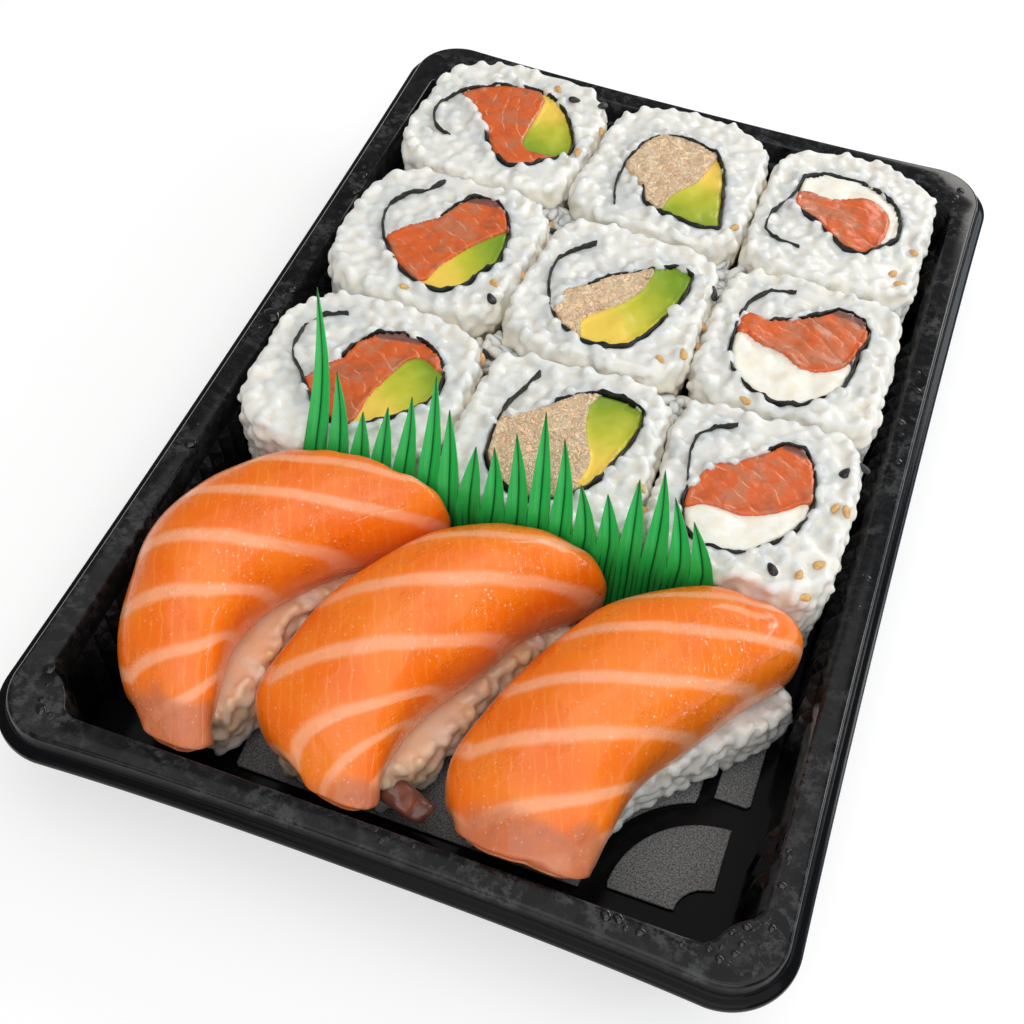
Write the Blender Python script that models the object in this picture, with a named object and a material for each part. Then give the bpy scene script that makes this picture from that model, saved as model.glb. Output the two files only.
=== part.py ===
"""Takeaway sushi tray: nine rolls, three salmon nigiri and a grass divider.

The tray lies with its length along Y.  The nigiri fill the front (-Y) end, the
nine rice-outside rolls stand on end in three rows behind them, and the pleated
grass divider stands between.  Design values are millimetres; MM turns them
into metres.  The origin is the middle of the tray's foot print, on the table.
"""

import bpy
import numpy as np
from math import atan2, cos, hypot, pi, radians, sin, sqrt
from mathutils.geometry import tessellate_polygon

MM = 0.001
GAP = 0.3                    # clear distance between pieces that touch

# ---- tray -----------------------------------------------------------------
RIM_HALF = (70.6, 105.9)     # half width and half length at the rim's outer edge
RIM_TURN = 10.5              # corner radius of the rim's outer edge
RIM_BOW = (0.8, 1.4)         # how far long and short sides bow in between corners
RIM_Z = 25.0
MOUTH_HALF = (65.2, 99.7)    # inner edge of the flat rim
BOSS_CENTRE = (68.3, 101.8)  # round corner bosses that push into the mouth
BOSS_RADIUS = 10.0
BOSS_BLEND = 1.4             # softening where a boss meets the straight edge
CORNER_STEPS = 8
SIDE_STEPS = 2
# ring kind, outward offset from that kind's outline, height
RIM_RINGS = (
    ("rim", 1.7, 20.4), ("rim", 2.5, 20.4), ("rim", 2.4, 21.7), ("rim", 1.4, 22.1),
    ("rim", 0.5, 22.4), ("rim", 0.0, 24.6), ("rim", -0.5, 25.0), ("mouth", 0.3, 24.5),
    ("mouth", 0.0, 24.2), ("mouth", -0.8, 19.6),
)
UNDER_RINGS = (
    ("mouth", -1.6, 0.0), ("mouth", 0.2, 19.4), ("mouth", 0.9, 23.4),
    ("rim", -1.2, 23.9), ("rim", -0.6, 21.6), ("rim", 1.3, 21.2),
)
FLOOR_Z = 1.2
PANEL_Z = 2.0                # raised matte panels of the floor
RIB_PITCH = 4.3
RIB_DEPTH = 1.7
RIB_TOP_Z = 19.6
RIB_TIP_FALL = 0.9           # the tips of the ribs slope down from the wall
WALL_DRAFT = 1.0             # how far wall and ribs lean in between rib top and floor
LONG_RIBS = ((6.5, 11), (74.5, 3))     # first rib from the middle, how many
SHORT_RIBS = ((0.0, 6), (41.0, 3))
FAN_CENTRE = (57.3, 86.6)    # quarter-round floor panels in the corners
FAN_RADIUS = 19.0
FAN_NOTCH = 6.0
FIELD_HALF = (49.7, 88.4)    # middle floor panel
FIELD_BITE = 23.2
STRIP_X = (52.2, 59.4)
STRIP_HALF_Y = 62.5
FOOT_STRIP_Y = (90.4, 94.6)
FOOT_STRIP_HALF_X = 36.0

# ---- rolls ----------------------------------------------------------------
FOOD_Z = PANEL_Z + GAP
SHEET_THICK = 0.9            # seaweed sheet
ROLL_REACH = 25.6            # radius of a roll that nothing presses on
ROLL_SQUARE = 22.0           # how sharply pressed sides turn into round ones
ROLL_STEPS = 26
WALL_LIMIT = (61.6, 95.0)    # rolls stay inside these half sizes
FRONT_LIMIT = -35.6          # and behind the grass
RICE_UNEVEN = 0.7
SHEET_SAMPLES = 20

SALMON = "salmon"
TUNA = "tuna"
AVOCADO = "avocado"
CHEESE = "cream_cheese"

# Each roll: centre, height of the cut face, the seaweed sheet as a spiral from its
# outer tip to its inner end, the sheet point where the filling first touches it,
# the bare edge of the filling between inner end and that point, the line that
# divides the two fillings, and the fillings on the first and second side of it.
ROLLS = {
    "back_left": dict(
        at=(-38.5, 72.0), top=32.8, meet=3, fill=(AVOCADO, SALMON),
        sheet=((-11, -9), (-16, -7), (-18, -1), (-16, 5), (-10, 11), (-3, 14), (5, 14), (11, 9),
               (16, 0), (17, -5), (9, -12), (3, -14), (-3, -7), (-5, -3)),
        mouth=((-10, 2),), divide=((5, 13), (5, 4), (5, -5), (8, -8), (15, -7))),
    "back_middle": dict(
        at=(3.0, 69.5), top=33.2, meet=2, fill=(AVOCADO, TUNA),
        sheet=((-10, -16), (-12, -9), (-12, -1), (-10, 7), (-7, 12), (2, 12), (8, 9), (11, 2),
               (13, -9), (14, -15), (7, -15), (1, -14), (-4, -12), (-6, -7)),
        mouth=((-9, -4),), divide=((7, 8), (5, -1), (1, -7), (0, -13))),
    "back_right": dict(
        at=(42.0, 69.0), top=32.6, meet=4, fill=(CHEESE, SALMON),
        sheet=((-7, -12), (-14, -11), (-16, -6), (-14, 0), (-12, 5), (-11, 12), (-5, 15), (3, 14),
               (10, 10), (13, 3), (12, -3), (5, -10), (0, -7), (-6, -2), (-10, 0)),
        mouth=((-11.5, 2),), divide=((-11, 7), (-4, 6), (4, 9), (9, 6), (10, 1), (9, -6))),
    "middle_left": dict(
        at=(-38.5, 30.0), top=33.2, meet=4, fill=(AVOCADO, SALMON),
        sheet=((-6, 17), (-9, 12), (-14, 8), (-15, 2), (-12, -5), (-6, -12), (1, -16), (8, -15),
               (12, -7), (14, -2), (13, 6), (9, 14), (3, 15), (-1, 10), (-3, 5)),
        mouth=((-8, 0),), divide=((2, -16), (2, -11), (6, -2), (12, 7))),
    "middle": dict(
        at=(1.5, 27.0), top=33.4, meet=4, fill=(AVOCADO, TUNA),
        sheet=((-8, 13), (-12, 10), (-15, 4), (-14, -2), (-12, -8), (-8, -13), (-1, -16), (7, -14),
               (11, -6), (14, 4), (14, 12), (8, 12), (3, 8), (-3, 4), (-6, 0)),
        mouth=((-9.5, -3),), divide=((-3, -15), (-4, -10), (1, -4), (5, 3), (6, 10))),
    "middle_right": dict(
        at=(42.0, 27.0), top=32.9, meet=3, fill=(CHEESE, SALMON),
        sheet=((-4, 16), (-9, 14), (-13, 9), (-14, 2), (-13, -8), (-9, -14), (-1, -17), (6, -14),
               (11, -7), (12, 3), (13, 11), (6, 14), (0, 9), (-8, 5)),
        mouth=((-11, 5.5),), divide=((-13, 1), (-8, -2), (-3, -3), (2, -6), (8, -4), (11.5, 1))),
    "front_left": dict(
        at=(-38.5, -13.5), top=33.0, meet=4, fill=(AVOCADO, SALMON),
        sheet=((-9, 14), (-14, 12), (-17, 6), (-15, -1), (-10, -7), (-5, -12), (1, -15), (7, -11),
               (14, -4), (16, 2), (14, 8), (9, 12), (2, 13), (-4, 9), (-6, 2)),
        mouth=((-8, -1),), divide=((3, -14), (3, -7), (5, 2), (8, 8), (14, 6.5))),
    "front_middle": dict(
        at=(3.5, -14.5), top=32.7, meet=3, fill=(AVOCADO, TUNA),
        sheet=((-9, 15), (-11, 9), (-13, 4), (-13, 0), (-12, -10), (-6, -16), (1, -17), (6, -13),
               (10, -8), (12, -1), (14, 7), (14, 12), (8, 14), (1, 13), (-4, 8)),
        mouth=((-8, 3),), divide=((6, -12), (7, -4), (4, 3), (2, 12))),
    "front_right": dict(
        at=(43.0, -13.0), top=33.1, meet=4, fill=(CHEESE, SALMON),
        sheet=((-7, 14), (-12, 12), (-15, 7), (-14, 1), (-13, -4), (-12, -12), (-7, -17), (2, -15),
               (9, -7), (11, -1), (10, 6), (8, 11), (4, 14), (-1, 9)),
        mouth=((-6, 4), (-10, 2.5)), divide=((-12, -9), (-8, -7), (-1, -7), (5, -4), (10, 1))),
}

# ---- nigiri ---------------------------------------------------------------
FISH_TAIL_Y, FISH_HEAD_Y = -97.6, -38.2
FISH_STATIONS = (0.0, 0.07, 0.17, 0.3, 0.43, 0.56, 0.69, 0.8, 0.89, 0.96, 1.0)
RICE_FIRST, RICE_LAST = 2, 10    # stations the rice block spans
FISH_ARC_STEPS = 9
SHOULDER_POWER = 0.42            # below 1 gives a flatter back and rounder shoulders
HEAD_ROUND = 0.22                # part of the length over which the head rounds off
HEAD_NARROW = 0.54               # share of width and of height left at the head's end
HEAD_FALL = 0.76
# Each nigiri, from tail to head: middle line and half width of the slab, heights of its
# back and of its left and right edge, and how far the rice stands out on the right.
NIGIRI = {
    "left": dict(
        middle=(-39.5, -46, -49, -47.5, -40, -26), half=(6.5, 10, 11, 14, 18, 23.5),
        back=(24, 31, 36, 38.5, 39, 43), left=(20, 17, 14, 14, 14, 17),
        right=(20, 19, 18.5, 19, 20, 20), rice_out=(-2, 3, 5, 1, -2, -4)),
    "middle": dict(
        middle=(-8.5, -16, -14.5, -9.5, -2.5, 8.5), half=(7, 13, 14, 15.5, 15, 19.5),
        back=(24.5, 30, 34.5, 37, 38.5, 37), left=(20, 17.5, 14, 13, 12.5, 11),
        right=(20, 17.5, 16, 15.5, 16, 15), rice_out=(-3, 3, 4, 1, 0, -2)),
    "right": dict(
        middle=(24.5, 22.5, 25, 31, 38, 48), half=(12, 15, 15, 16.5, 17, 17),
        back=(28, 33, 37, 38.5, 39, 37.5), left=(20, 18, 15, 15, 16, 16),
        right=(20, 18.5, 16.5, 17, 16.5, 13), rice_out=(-4, -4, -2.5, 0, 3.5, 0.5)),
}
FISH_THICK = (2.0, 4.0, 5.0, 5.5, 5.5, 5.0)

# ---- grass divider --------------------------------------------------------
GRASS_THICK = 0.5
GRASS_FOOT = (-37.0, FOOD_Z)         # y and z of the foot
GRASS_BEND = 27.0                    # height up the sheet where it leans back
GRASS_LEAN = 42.0                    # degrees, reached over GRASS_EASE
GRASS_EASE = 8.0
GRASS_VALLEY = 30.0                  # height up the sheet where the blades part
GRASS_LEFT, GRASS_RIGHT = -41.0, 40.5
BLADE_TIPS = (61.5, 47.5, 41.5, 43.5, 47, 52, 46.5, 41.5, 42, 46, 51.5, 47.5, 40.5, 40, 44.5, 47.5, 43, 40)
BLADE_DRIFT = -1.6                   # tips stand a little left of their roots
PLEAT_DEPTH = 0.9


# ---- curves ---------------------------------------------------------------
def smooth(points, count, closed=False):
    """Evenly spaced points on a Catmull-Rom curve through the given points."""
    p = np.array(points, float)
    if closed:
        p = np.vstack((p[-1], p, p[0], p[1]))
    else:
        p = np.vstack((2 * p[0] - p[1], p, 2 * p[-1] - p[-2]))
    t = np.linspace(0.0, 1.0, 9)[:-1, None]
    runs = []
    for a, b, c, d in zip(p, p[1:], p[2:], p[3:]):
        runs.append(0.5 * (2 * b + (c - a) * t + (2 * a - 5 * b + 4 * c - d) * t ** 2
                           + (3 * b - a - 3 * c + d) * t ** 3))
    dense = np.vstack(runs + ([] if closed else [p[-2:-1]]))
    loop = np.vstack((dense, dense[:1])) if closed else dense
    along = np.concatenate(([0.0], np.cumsum(np.hypot(*np.diff(loop, axis=0).T))))
    stops = np.linspace(0.0, along[-1], count + 1)[:-1] if closed else np.linspace(0.0, along[-1], count)
    return np.column_stack([np.interp(stops, along, loop[:, k]) for k in (0, 1)])


def normals(points, closed=False):
    """Unit normals to the right of the direction of travel."""
    if closed:
        step = np.roll(points, -1, axis=0) - np.roll(points, 1, axis=0)
    else:
        step = np.gradient(points, axis=0)
    step /= np.hypot(step[:, 0], step[:, 1])[:, None]
    return np.column_stack((step[:, 1], -step[:, 0]))


def area(points):
    """Signed area, positive when the outline runs anticlockwise."""
    x, y = points[:, 0], points[:, 1]
    return 0.5 * float(np.sum(x * np.roll(y, -1) - y * np.roll(x, -1)))


def inset(points, distance):
    """Move each side of a closed outline inwards, with mitred corners."""
    turn = 1.0 if area(points) > 0 else -1.0
    side = np.roll(points, -1, axis=0) - points
    side /= np.hypot(side[:, 0], side[:, 1])[:, None]
    inward = turn * np.column_stack((-side[:, 1], side[:, 0]))
    before = np.roll(inward, 1, axis=0)
    share = np.maximum(1.0 + np.sum(inward * before, axis=1), 0.4)
    return points + distance * (inward + before) / share[:, None]


def along_values(values, stations):
    """Smoothly read a short list of values at fractions of its length."""
    line = np.column_stack((np.linspace(0, 1, len(values)), values))
    dense = smooth(line, 120)
    return np.interp(stations, dense[:, 0], dense[:, 1])


# ---- meshes ---------------------------------------------------------------
def make_object(name, verts, faces, material, sharp=35.0):
    """Wrap millimetre vertices and faces as a named object with its own material."""
    mesh = bpy.data.meshes.new(name)
    mesh.from_pydata([tuple(MM * c for c in v) for v in verts], [], faces)
    mesh.validate()
    mesh.shade_smooth()
    mesh.set_sharp_from_angle(angle=radians(sharp))
    mesh.materials.append(material)
    obj = bpy.data.objects.new(name, mesh)
    bpy.context.scene.collection.objects.link(obj)
    return obj


def paint(name, colour, roughness, coat=0.0, scatter=0.0):
    """A plain Principled material."""
    material = bpy.data.materials.new(name)
    material.use_nodes = True
    shader = material.node_tree.nodes["Principled BSDF"]
    shader.inputs["Base Color"].default_value = (*colour, 1.0)
    shader.inputs["Roughness"].default_value = roughness
    shader.inputs["Coat Weight"].default_value = coat
    shader.inputs["Subsurface Weight"].default_value = scatter
    shader.inputs["Subsurface Scale"].default_value = 0.002
    material.diffuse_color = (*colour, 1.0)
    return material


def cap(loops, upward, index):
    """Triangles that fill flat loops, the outer one first and then the holes in it."""
    points = [(x, y, 0.0) for loop in loops for x, y in loop]
    faces = tessellate_polygon([[(x, y, 0.0) for x, y in loop] for loop in loops])
    total = 0.0
    for i, j, k in faces:
        a, b, c = points[i], points[j], points[k]
        total += (b[0] - a[0]) * (c[1] - a[1]) - (b[1] - a[1]) * (c[0] - a[0])
    keep = (total > 0) == upward
    return [tuple(index[n] for n in ((i, j, k) if keep else (i, k, j))) for i, j, k in faces]


def column(rings, heights, hole=None):
    """Vertices and faces of an upright solid: outer rings at heights, one straight hole."""
    rings = [r if area(r) > 0 else r[::-1] for r in rings]
    count = len(rings[0])
    verts = [(x, y, z) for ring, z in zip(rings, heights) for x, y in ring]
    faces = []
    for level in range(len(rings) - 1):
        base = level * count
        for i in range(count):
            j = (i + 1) % count
            faces.append((base + i, base + j, base + count + j, base + count + i))
    low = list(range(count))
    high = list(range((len(rings) - 1) * count, len(rings) * count))
    low_loops, high_loops = [rings[0]], [rings[-1]]
    if hole is not None:
        hole = hole if area(hole) > 0 else hole[::-1]
        first = len(verts)
        size = len(hole)
        verts += [(x, y, heights[0]) for x, y in hole] + [(x, y, heights[-1]) for x, y in hole]
        for i in range(size):
            j = (i + 1) % size
            faces.append((first + j, first + i, first + size + i, first + size + j))
        low += range(first, first + size)
        high += range(first + size, first + 2 * size)
        low_loops.append(hole)
        high_loops.append(hole)
    faces += cap(low_loops, False, low)
    faces += cap(high_loops, True, high)
    return verts, faces


def loft(sections, flat_sections):
    """Skin a row of closed sections; the flat copies are only used to fill the ends."""
    count = len(sections[0])
    verts = [tuple(p) for section in sections for p in section]
    faces = []
    for level in range(len(sections) - 1):
        base = level * count
        for i in range(count):
            j = (i + 1) % count
            faces.append((base + i, base + j, base + count + j, base + count + i))
    last = (len(sections) - 1) * count
    forward = area(flat_sections[0]) > 0
    faces += cap([flat_sections[0]], not forward, list(range(count)))
    faces += cap([flat_sections[-1]], forward, list(range(last, last + count)))
    return verts, faces


# ---- tray -----------------------------------------------------------------
def quadrant_rim(offset):
    """Rounded corner of the rim outline in the +X +Y quadrant, from the X side."""
    turn = RIM_TURN + offset
    centre = (RIM_HALF[0] - RIM_TURN, RIM_HALF[1] - RIM_TURN)
    angles = np.linspace(0, pi / 2, CORNER_STEPS)
    return [(centre[0] + turn * cos(a), centre[1] + turn * sin(a)) for a in angles]


def quadrant_mouth(offset):
    """Corner of the mouth outline with its boss, in the +X +Y quadrant, from the X side."""
    side_x = MOUTH_HALF[0] + offset
    side_y = MOUTH_HALF[1] + offset
    radius = BOSS_RADIUS - offset
    cx, cy = BOSS_CENTRE
    meet_y = cy - sqrt(radius ** 2 - (cx - side_x) ** 2)
    meet_x = cx - sqrt(radius ** 2 - (cy - side_y) ** 2)
    start = atan2(meet_y - cy, side_x - cx)
    end = atan2(side_y - cy, meet_x - cx)
    soft = BOSS_BLEND / radius
    angles = np.linspace(start - soft, end + soft, CORNER_STEPS - 2)
    arc = [(cx + radius * cos(a), cy + radius * sin(a)) for a in angles]
    return [(side_x, meet_y - BOSS_BLEND)] + arc + [(meet_x - BOSS_BLEND, side_y)]


def plan_ring(kind, offset):
    """One closed outline of the tray, always with the same number of points."""
    quarter = quadrant_rim(offset) if kind == "rim" else quadrant_mouth(offset)
    ring = []
    for sx, sy, backward in ((1, 1, False), (-1, 1, True), (-1, -1, False), (1, -1, True)):
        corner = [(sx * x, sy * y) for x, y in quarter]
        ring.append(corner[::-1] if backward else corner)
    outline = []
    for k, corner in enumerate(ring):
        outline += corner
        a, b = corner[-1], ring[(k + 1) % 4][0]
        bow = RIM_BOW[1 - k % 2] if kind == "rim" else 0.0
        for i in range(1, SIDE_STEPS + 1):
            t = i / (SIDE_STEPS + 1)
            x, y = a[0] + t * (b[0] - a[0]), a[1] + t * (b[1] - a[1])
            if k % 2 == 0:
                y -= bow * (1 if y > 0 else -1)
            else:
                x -= bow * (1 if x > 0 else -1)
            outline.append((x, y))
    return np.array(outline)


def rib_places(groups):
    """Middles of the ribs along one wall, from the negative to the positive end."""
    places = set()
    for first, count in groups:
        for k in range(count):
            places.update((first + k * RIB_PITCH, -first - k * RIB_PITCH))
    return sorted(places)


def ribbed_ring(draft):
    """Mouth outline below the rib tops, with a pointed tooth at every rib."""
    smooth_ring = plan_ring("mouth", -0.8 - draft)
    wall_x, wall_y = MOUTH_HALF[0] - 0.8 - draft, MOUTH_HALF[1] - 0.8 - draft
    points, is_tip = [], []
    count = len(smooth_ring)
    for i, (p, q) in enumerate(zip(smooth_ring, np.roll(smooth_ring, -1, axis=0))):
        quarter, step = divmod(i, count // 4)
        if step < CORNER_STEPS:
            points.append(tuple(p))
            is_tip.append(False)
        if step != CORNER_STEPS - 1:
            continue
        on_short = quarter % 2 == 0
        places = rib_places(SHORT_RIBS if on_short else LONG_RIBS)
        forward = quarter in (2, 3)
        for place in places if forward else places[::-1]:
            sign = 1 if forward else -1
            for shift, depth in ((-0.5 * sign * RIB_PITCH, 0.0), (0.0, RIB_DEPTH), (0.5 * sign * RIB_PITCH, 0.0)):
                along = place + shift
                if on_short:
                    side = 1 if quarter == 0 else -1
                    point = (along, side * (wall_y - depth))
                else:
                    side = 1 if quarter == 3 else -1
                    point = (side * (wall_x - depth), along)
                if depth == 0.0 and hypot(point[0] - points[-1][0], point[1] - points[-1][1]) < 0.1:
                    continue
                points.append(point)
                is_tip.append(depth > 0.0)
    return np.array(points), is_tip


def floor_panels():
    """Outlines of the raised panels: middle field, corner fans and narrow strips."""
    cx, cy = FAN_CENTRE
    bite = [(cx + FIELD_BITE * cos(a), cy + FIELD_BITE * sin(a)) for a in np.linspace(-pi / 2, -pi, 7)]
    bite = [p for p in bite if p[0] < FIELD_HALF[0] - 1.0 and p[1] < FIELD_HALF[1] - 1.0]
    edge_y = cy - sqrt(FIELD_BITE ** 2 - (cx - FIELD_HALF[0]) ** 2)
    quarter = [(FIELD_HALF[0], edge_y)] + bite + [(cx - FIELD_BITE, FIELD_HALF[1])]
    field = []
    for sx, sy, backward in ((1, 1, False), (-1, 1, True), (-1, -1, False), (1, -1, True)):
        part = [(sx * x, sy * y) for x, y in quarter]
        field += part[::-1] if backward else part
    shapes = [field]
    fan = [(cx + FAN_RADIUS * cos(a), cy + FAN_RADIUS * sin(a)) for a in np.linspace(-pi / 2, -pi, 8)]
    fan += [(cx + FAN_NOTCH * cos(a), cy + FAN_NOTCH * sin(a)) for a in np.linspace(-pi, -pi / 2, 4)]
    shapes += [[(sx * x, sy * y) for x, y in fan] for sx in (1, -1) for sy in (1, -1)]
    h, w = STRIP_HALF_Y, FOOT_STRIP_HALF_X
    for s in (1, -1):
        x0, x1 = s * STRIP_X[0], s * STRIP_X[1]
        shapes.append([(x0, -h), (x1, -h), (x1, h), (x0, h)])
        y0, y1 = s * FOOT_STRIP_Y[0], s * FOOT_STRIP_Y[1]
        shapes.append([(-w, y0), (w, y0), (w, y1), (-w, y1)])
    outlines = [np.array(shape) for shape in shapes]
    return [o if area(o) > 0 else o[::-1] for o in outlines]


class Skin:
    """Vertices and faces of one closed skin, grown ring by ring."""

    def __init__(self):
        self.verts = []
        self.faces = []

    def ring(self, outline, heights):
        """Add an outline; heights is one value or one for each point."""
        if isinstance(heights, float):
            heights = [heights] * len(outline)
        first = len(self.verts)
        self.verts += [(x, y, z) for (x, y), z in zip(outline, heights)]
        return list(range(first, len(self.verts)))

    def band(self, low, high):
        """Join two rings with the same number of points."""
        for i in range(len(low)):
            j = (i + 1) % len(low)
            self.faces.append((low[i], low[j], high[j], high[i]))

    def fill(self, rings, upward):
        """Fill between rings seen in plan: the outer ring, then rings inside it."""
        loops = [[self.verts[i][:2] for i in ring] for ring in rings]
        index = [i for ring in rings for i in ring]
        self.faces += cap(loops, upward, index)


def build_tray():
    """The formed tray: rim, ribbed walls and panelled floor in one solid."""
    skin = Skin()
    rim = [skin.ring(plan_ring(kind, off), z) for kind, off, z in RIM_RINGS]
    under = [skin.ring(plan_ring(kind, off), z) for kind, off, z in UNDER_RINGS]
    for low, high in zip(rim, rim[1:]):
        skin.band(low, high)
    for low, high in zip(under, under[1:] + rim[:1]):
        skin.band(low, high)
    upper, is_tip = ribbed_ring(0.15)
    lower, _ = ribbed_ring(WALL_DRAFT)
    tops = [RIB_TOP_Z - 0.3 - (RIB_TIP_FALL if tip else 0.0) for tip in is_tip]
    teeth = skin.ring(upper, tops)
    foot = skin.ring(lower, FLOOR_Z)
    skin.fill([rim[-1], teeth], True)
    skin.band(teeth, foot)
    panels = []
    for outline in floor_panels():
        root = skin.ring(outline, FLOOR_Z)
        edge = skin.ring(outline, PANEL_Z)
        skin.band(root, edge)
        skin.fill([edge], True)
        panels.append(root)
    skin.fill([foot] + panels, True)
    skin.fill([under[0]], False)
    black = paint("tray_black", (0.012, 0.013, 0.015), 0.22)
    return make_object("tray", skin.verts, skin.faces, black, sharp=28)


# ---- rolls ----------------------------------------------------------------
def roll_outline(name, spread=0.0):
    """Outline of a roll pressed square by its neighbours and by the tray's walls."""
    cx, cy = ROLLS[name]["at"]
    seed = 1.7 * cx + 0.9 * cy
    outline = []
    for step in range(ROLL_STEPS):
        a = 2 * pi * step / ROLL_STEPS
        ux, uy = cos(a), sin(a)
        reaches = [ROLL_REACH]
        for other in ROLLS:
            ox, oy = ROLLS[other]["at"][0] - cx, ROLLS[other]["at"][1] - cy
            away = hypot(ox, oy)
            facing = (ux * ox + uy * oy) / away if away else 0.0
            if facing > 0.1:
                reaches.append((away / 2 - GAP / 2) / facing)
        for u, c, limit in ((ux, cx, WALL_LIMIT[0]), (uy, cy, WALL_LIMIT[1])):
            if abs(u) > 0.1:
                reaches.append((limit - c * (1 if u > 0 else -1)) / abs(u))
        if uy < -0.1:
            reaches.append((FRONT_LIMIT - cy) / uy)
        reach = sum(r ** -ROLL_SQUARE for r in reaches) ** (-1 / ROLL_SQUARE)
        reach -= RICE_UNEVEN * (0.5 + 0.3 * sin(5 * a + seed) + 0.2 * sin(9 * a - 2 * seed))
        outline.append((cx + (reach + spread) * ux, cy + (reach + spread) * uy))
    return np.array(outline)


def roll_sections(roll):
    """Outlines in the tray's frame: the sheet, the rice's hole and the two fillings."""
    centre = np.array(roll["at"])
    sheet = smooth(roll["sheet"], SHEET_SAMPLES) + centre
    meet_point = np.array(roll["sheet"][roll["meet"]], float) + centre
    meet = int(np.argmin(np.hypot(*(sheet - meet_point).T)))
    outward = normals(sheet) * (1.0 if area(sheet) > 0 else -1.0)
    half = SHEET_THICK / 2
    strip = np.vstack((sheet + half * outward, (sheet - half * outward)[::-1]))

    mouth = np.array(roll["mouth"], float) + centre
    clear = half + GAP
    ahead = sheet[-1] - sheet[-2]
    ahead *= GAP / hypot(*ahead)
    behind = sheet[0] - sheet[1]
    behind *= GAP / hypot(*behind)
    outer = sheet + clear * outward
    inner = sheet - clear * outward
    outer[-1] += ahead
    outer[0] += behind
    inner[0] += behind
    edge = np.vstack((sheet[-1] + ahead, mouth, inner[meet]))
    rise = normals(edge) * (-1.0 if area(sheet) > 0 else 1.0)
    lip = mouth - 0.5 * GAP * rise[1:-1]
    back = inner[meet - 1] - inner[meet]
    start = inner[meet] + back * GAP / hypot(*back)
    hole = np.vstack((outer, lip, start, inner[:meet][::-1]))

    near = half + 0.5 * GAP
    body = sheet - near * outward
    region = np.vstack((body[meet:], mouth))
    cut = smooth(np.array(roll["divide"], float) + centre, 3 * len(roll["divide"]))
    ends = [int(np.argmin(np.hypot(*(region - p).T))) for p in (cut[0], cut[-1])]
    i, j = ends
    cut = cut[1:-1]
    loop = np.roll(region, -i, axis=0)
    span = (j - i) % len(region)
    first = np.vstack((loop[:span + 1], cut[::-1]))
    second = np.vstack((loop[span:], loop[:1], cut))
    return strip, hole, inset(first, 0.5 * GAP), inset(second, 0.5 * GAP)


def build_roll(name, roll, paints):
    """Rice, seaweed sheet and two fillings of one roll, all standing on the floor panels."""
    strip, hole, first, second = roll_sections(roll)
    top = roll["top"]
    rings = [roll_outline(name, -1.0), roll_outline(name), roll_outline(name, -1.6)]
    heights = [FOOD_Z, top - 5.0, top]
    made = [make_object(f"rice_{name}", *column(rings, heights, hole), paints["rice"], sharp=50)]
    made.append(make_object(f"seaweed_{name}", *column([strip, strip], [FOOD_Z, top + 0.2]), paints["seaweed"]))
    for outline, kind, extra in ((first, roll["fill"][0], -0.3), (second, roll["fill"][1], 0.1)):
        solid = column([outline, outline], [FOOD_Z, top + extra])
        made.append(make_object(f"{kind}_{name}", *solid, paints[kind], sharp=50))
    return made


# ---- nigiri ---------------------------------------------------------------
def nigiri_measures(form):
    """Measures of the slab and its rice at every station, with the head rounded off."""
    measures = {key: along_values(values, FISH_STATIONS) for key, values in form.items()}
    measures["thick"] = along_values(FISH_THICK, FISH_STATIONS)
    past = np.clip((np.array(FISH_STATIONS) - 1 + HEAD_ROUND) / HEAD_ROUND, 0, 1)
    roundness = np.sqrt(1 - 0.93 * past ** 2)
    measures["half"] *= HEAD_NARROW + (1 - HEAD_NARROW) * roundness
    low = 0.5 * (measures["left"] + measures["right"])
    measures["back"] = low + 3 + (measures["back"] - low - 3) * (HEAD_FALL + (1 - HEAD_FALL) * roundness)
    measures["y"] = FISH_TAIL_Y + (FISH_HEAD_Y - FISH_TAIL_Y) * np.array(FISH_STATIONS)
    return measures


def arch(half, back, left, right, thin=0.0, drop=0.0):
    """Points across the slab from its left edge over the back to its right edge."""
    points = []
    for a in np.linspace(pi, 0, FISH_ARC_STEPS):
        side = cos(a)
        edge = left + (right - left) * (side + 1) / 2
        points.append(((half - thin) * side, edge + (back - drop - edge) * sin(a) ** SHOULDER_POWER))
    return points


def build_nigiri(name, form, paints):
    """A draped slab of salmon and the rice block it lies on."""
    m = nigiri_measures(form)
    fish, rice = [], []
    for k in range(len(FISH_STATIONS)):
        half, back, left, right, thick = (m[key][k] for key in ("half", "back", "left", "right", "thick"))
        thick = min(thick, 0.45 * half, 0.6 * (back - max(left, right)))
        over = arch(half, back, left, right)
        under = arch(half, back, left, right, thin=0.8 * thick, drop=thick)
        fish.append((m["middle"][k], m["y"][k], over + under[::-1]))
        if RICE_FIRST <= k < RICE_LAST:
            end = 3.0 if k in (RICE_FIRST, RICE_LAST - 1) else 0.0
            narrow = half - 1.6 - end
            wide = half + m["rice_out"][k] - end
            cover = arch(half, back, left, right, thin=0.8 * thick + GAP, drop=thick + 2 * GAP)
            cover[0] = (cover[0][0], left - 2 * GAP)
            cover[-1] = (cover[-1][0], right - 2 * GAP)
            side_left = [(-narrow + 1.5, FOOD_Z), (-narrow, FOOD_Z + 3), (-narrow, left - 3), (-narrow + 1, left - 1.2)]
            side_right = [(wide - 1, right - 1.2), (wide, right - 3), (wide, FOOD_Z + 3), (wide - 1.5, FOOD_Z)]
            rice.append((m["middle"][k], m["y"][k], side_left + cover + side_right))
    for label, row, colour in (("fish", fish, "fish"), ("nigiri_rice", rice, "rice")):
        sections = [[(x + u, y, z) for u, z in loop] for x, y, loop in row]
        solid = loft(sections, [np.array(loop) for _, _, loop in row])
        make_object(f"{label}_{name}", *solid, paints[colour], sharp=60)


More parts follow.
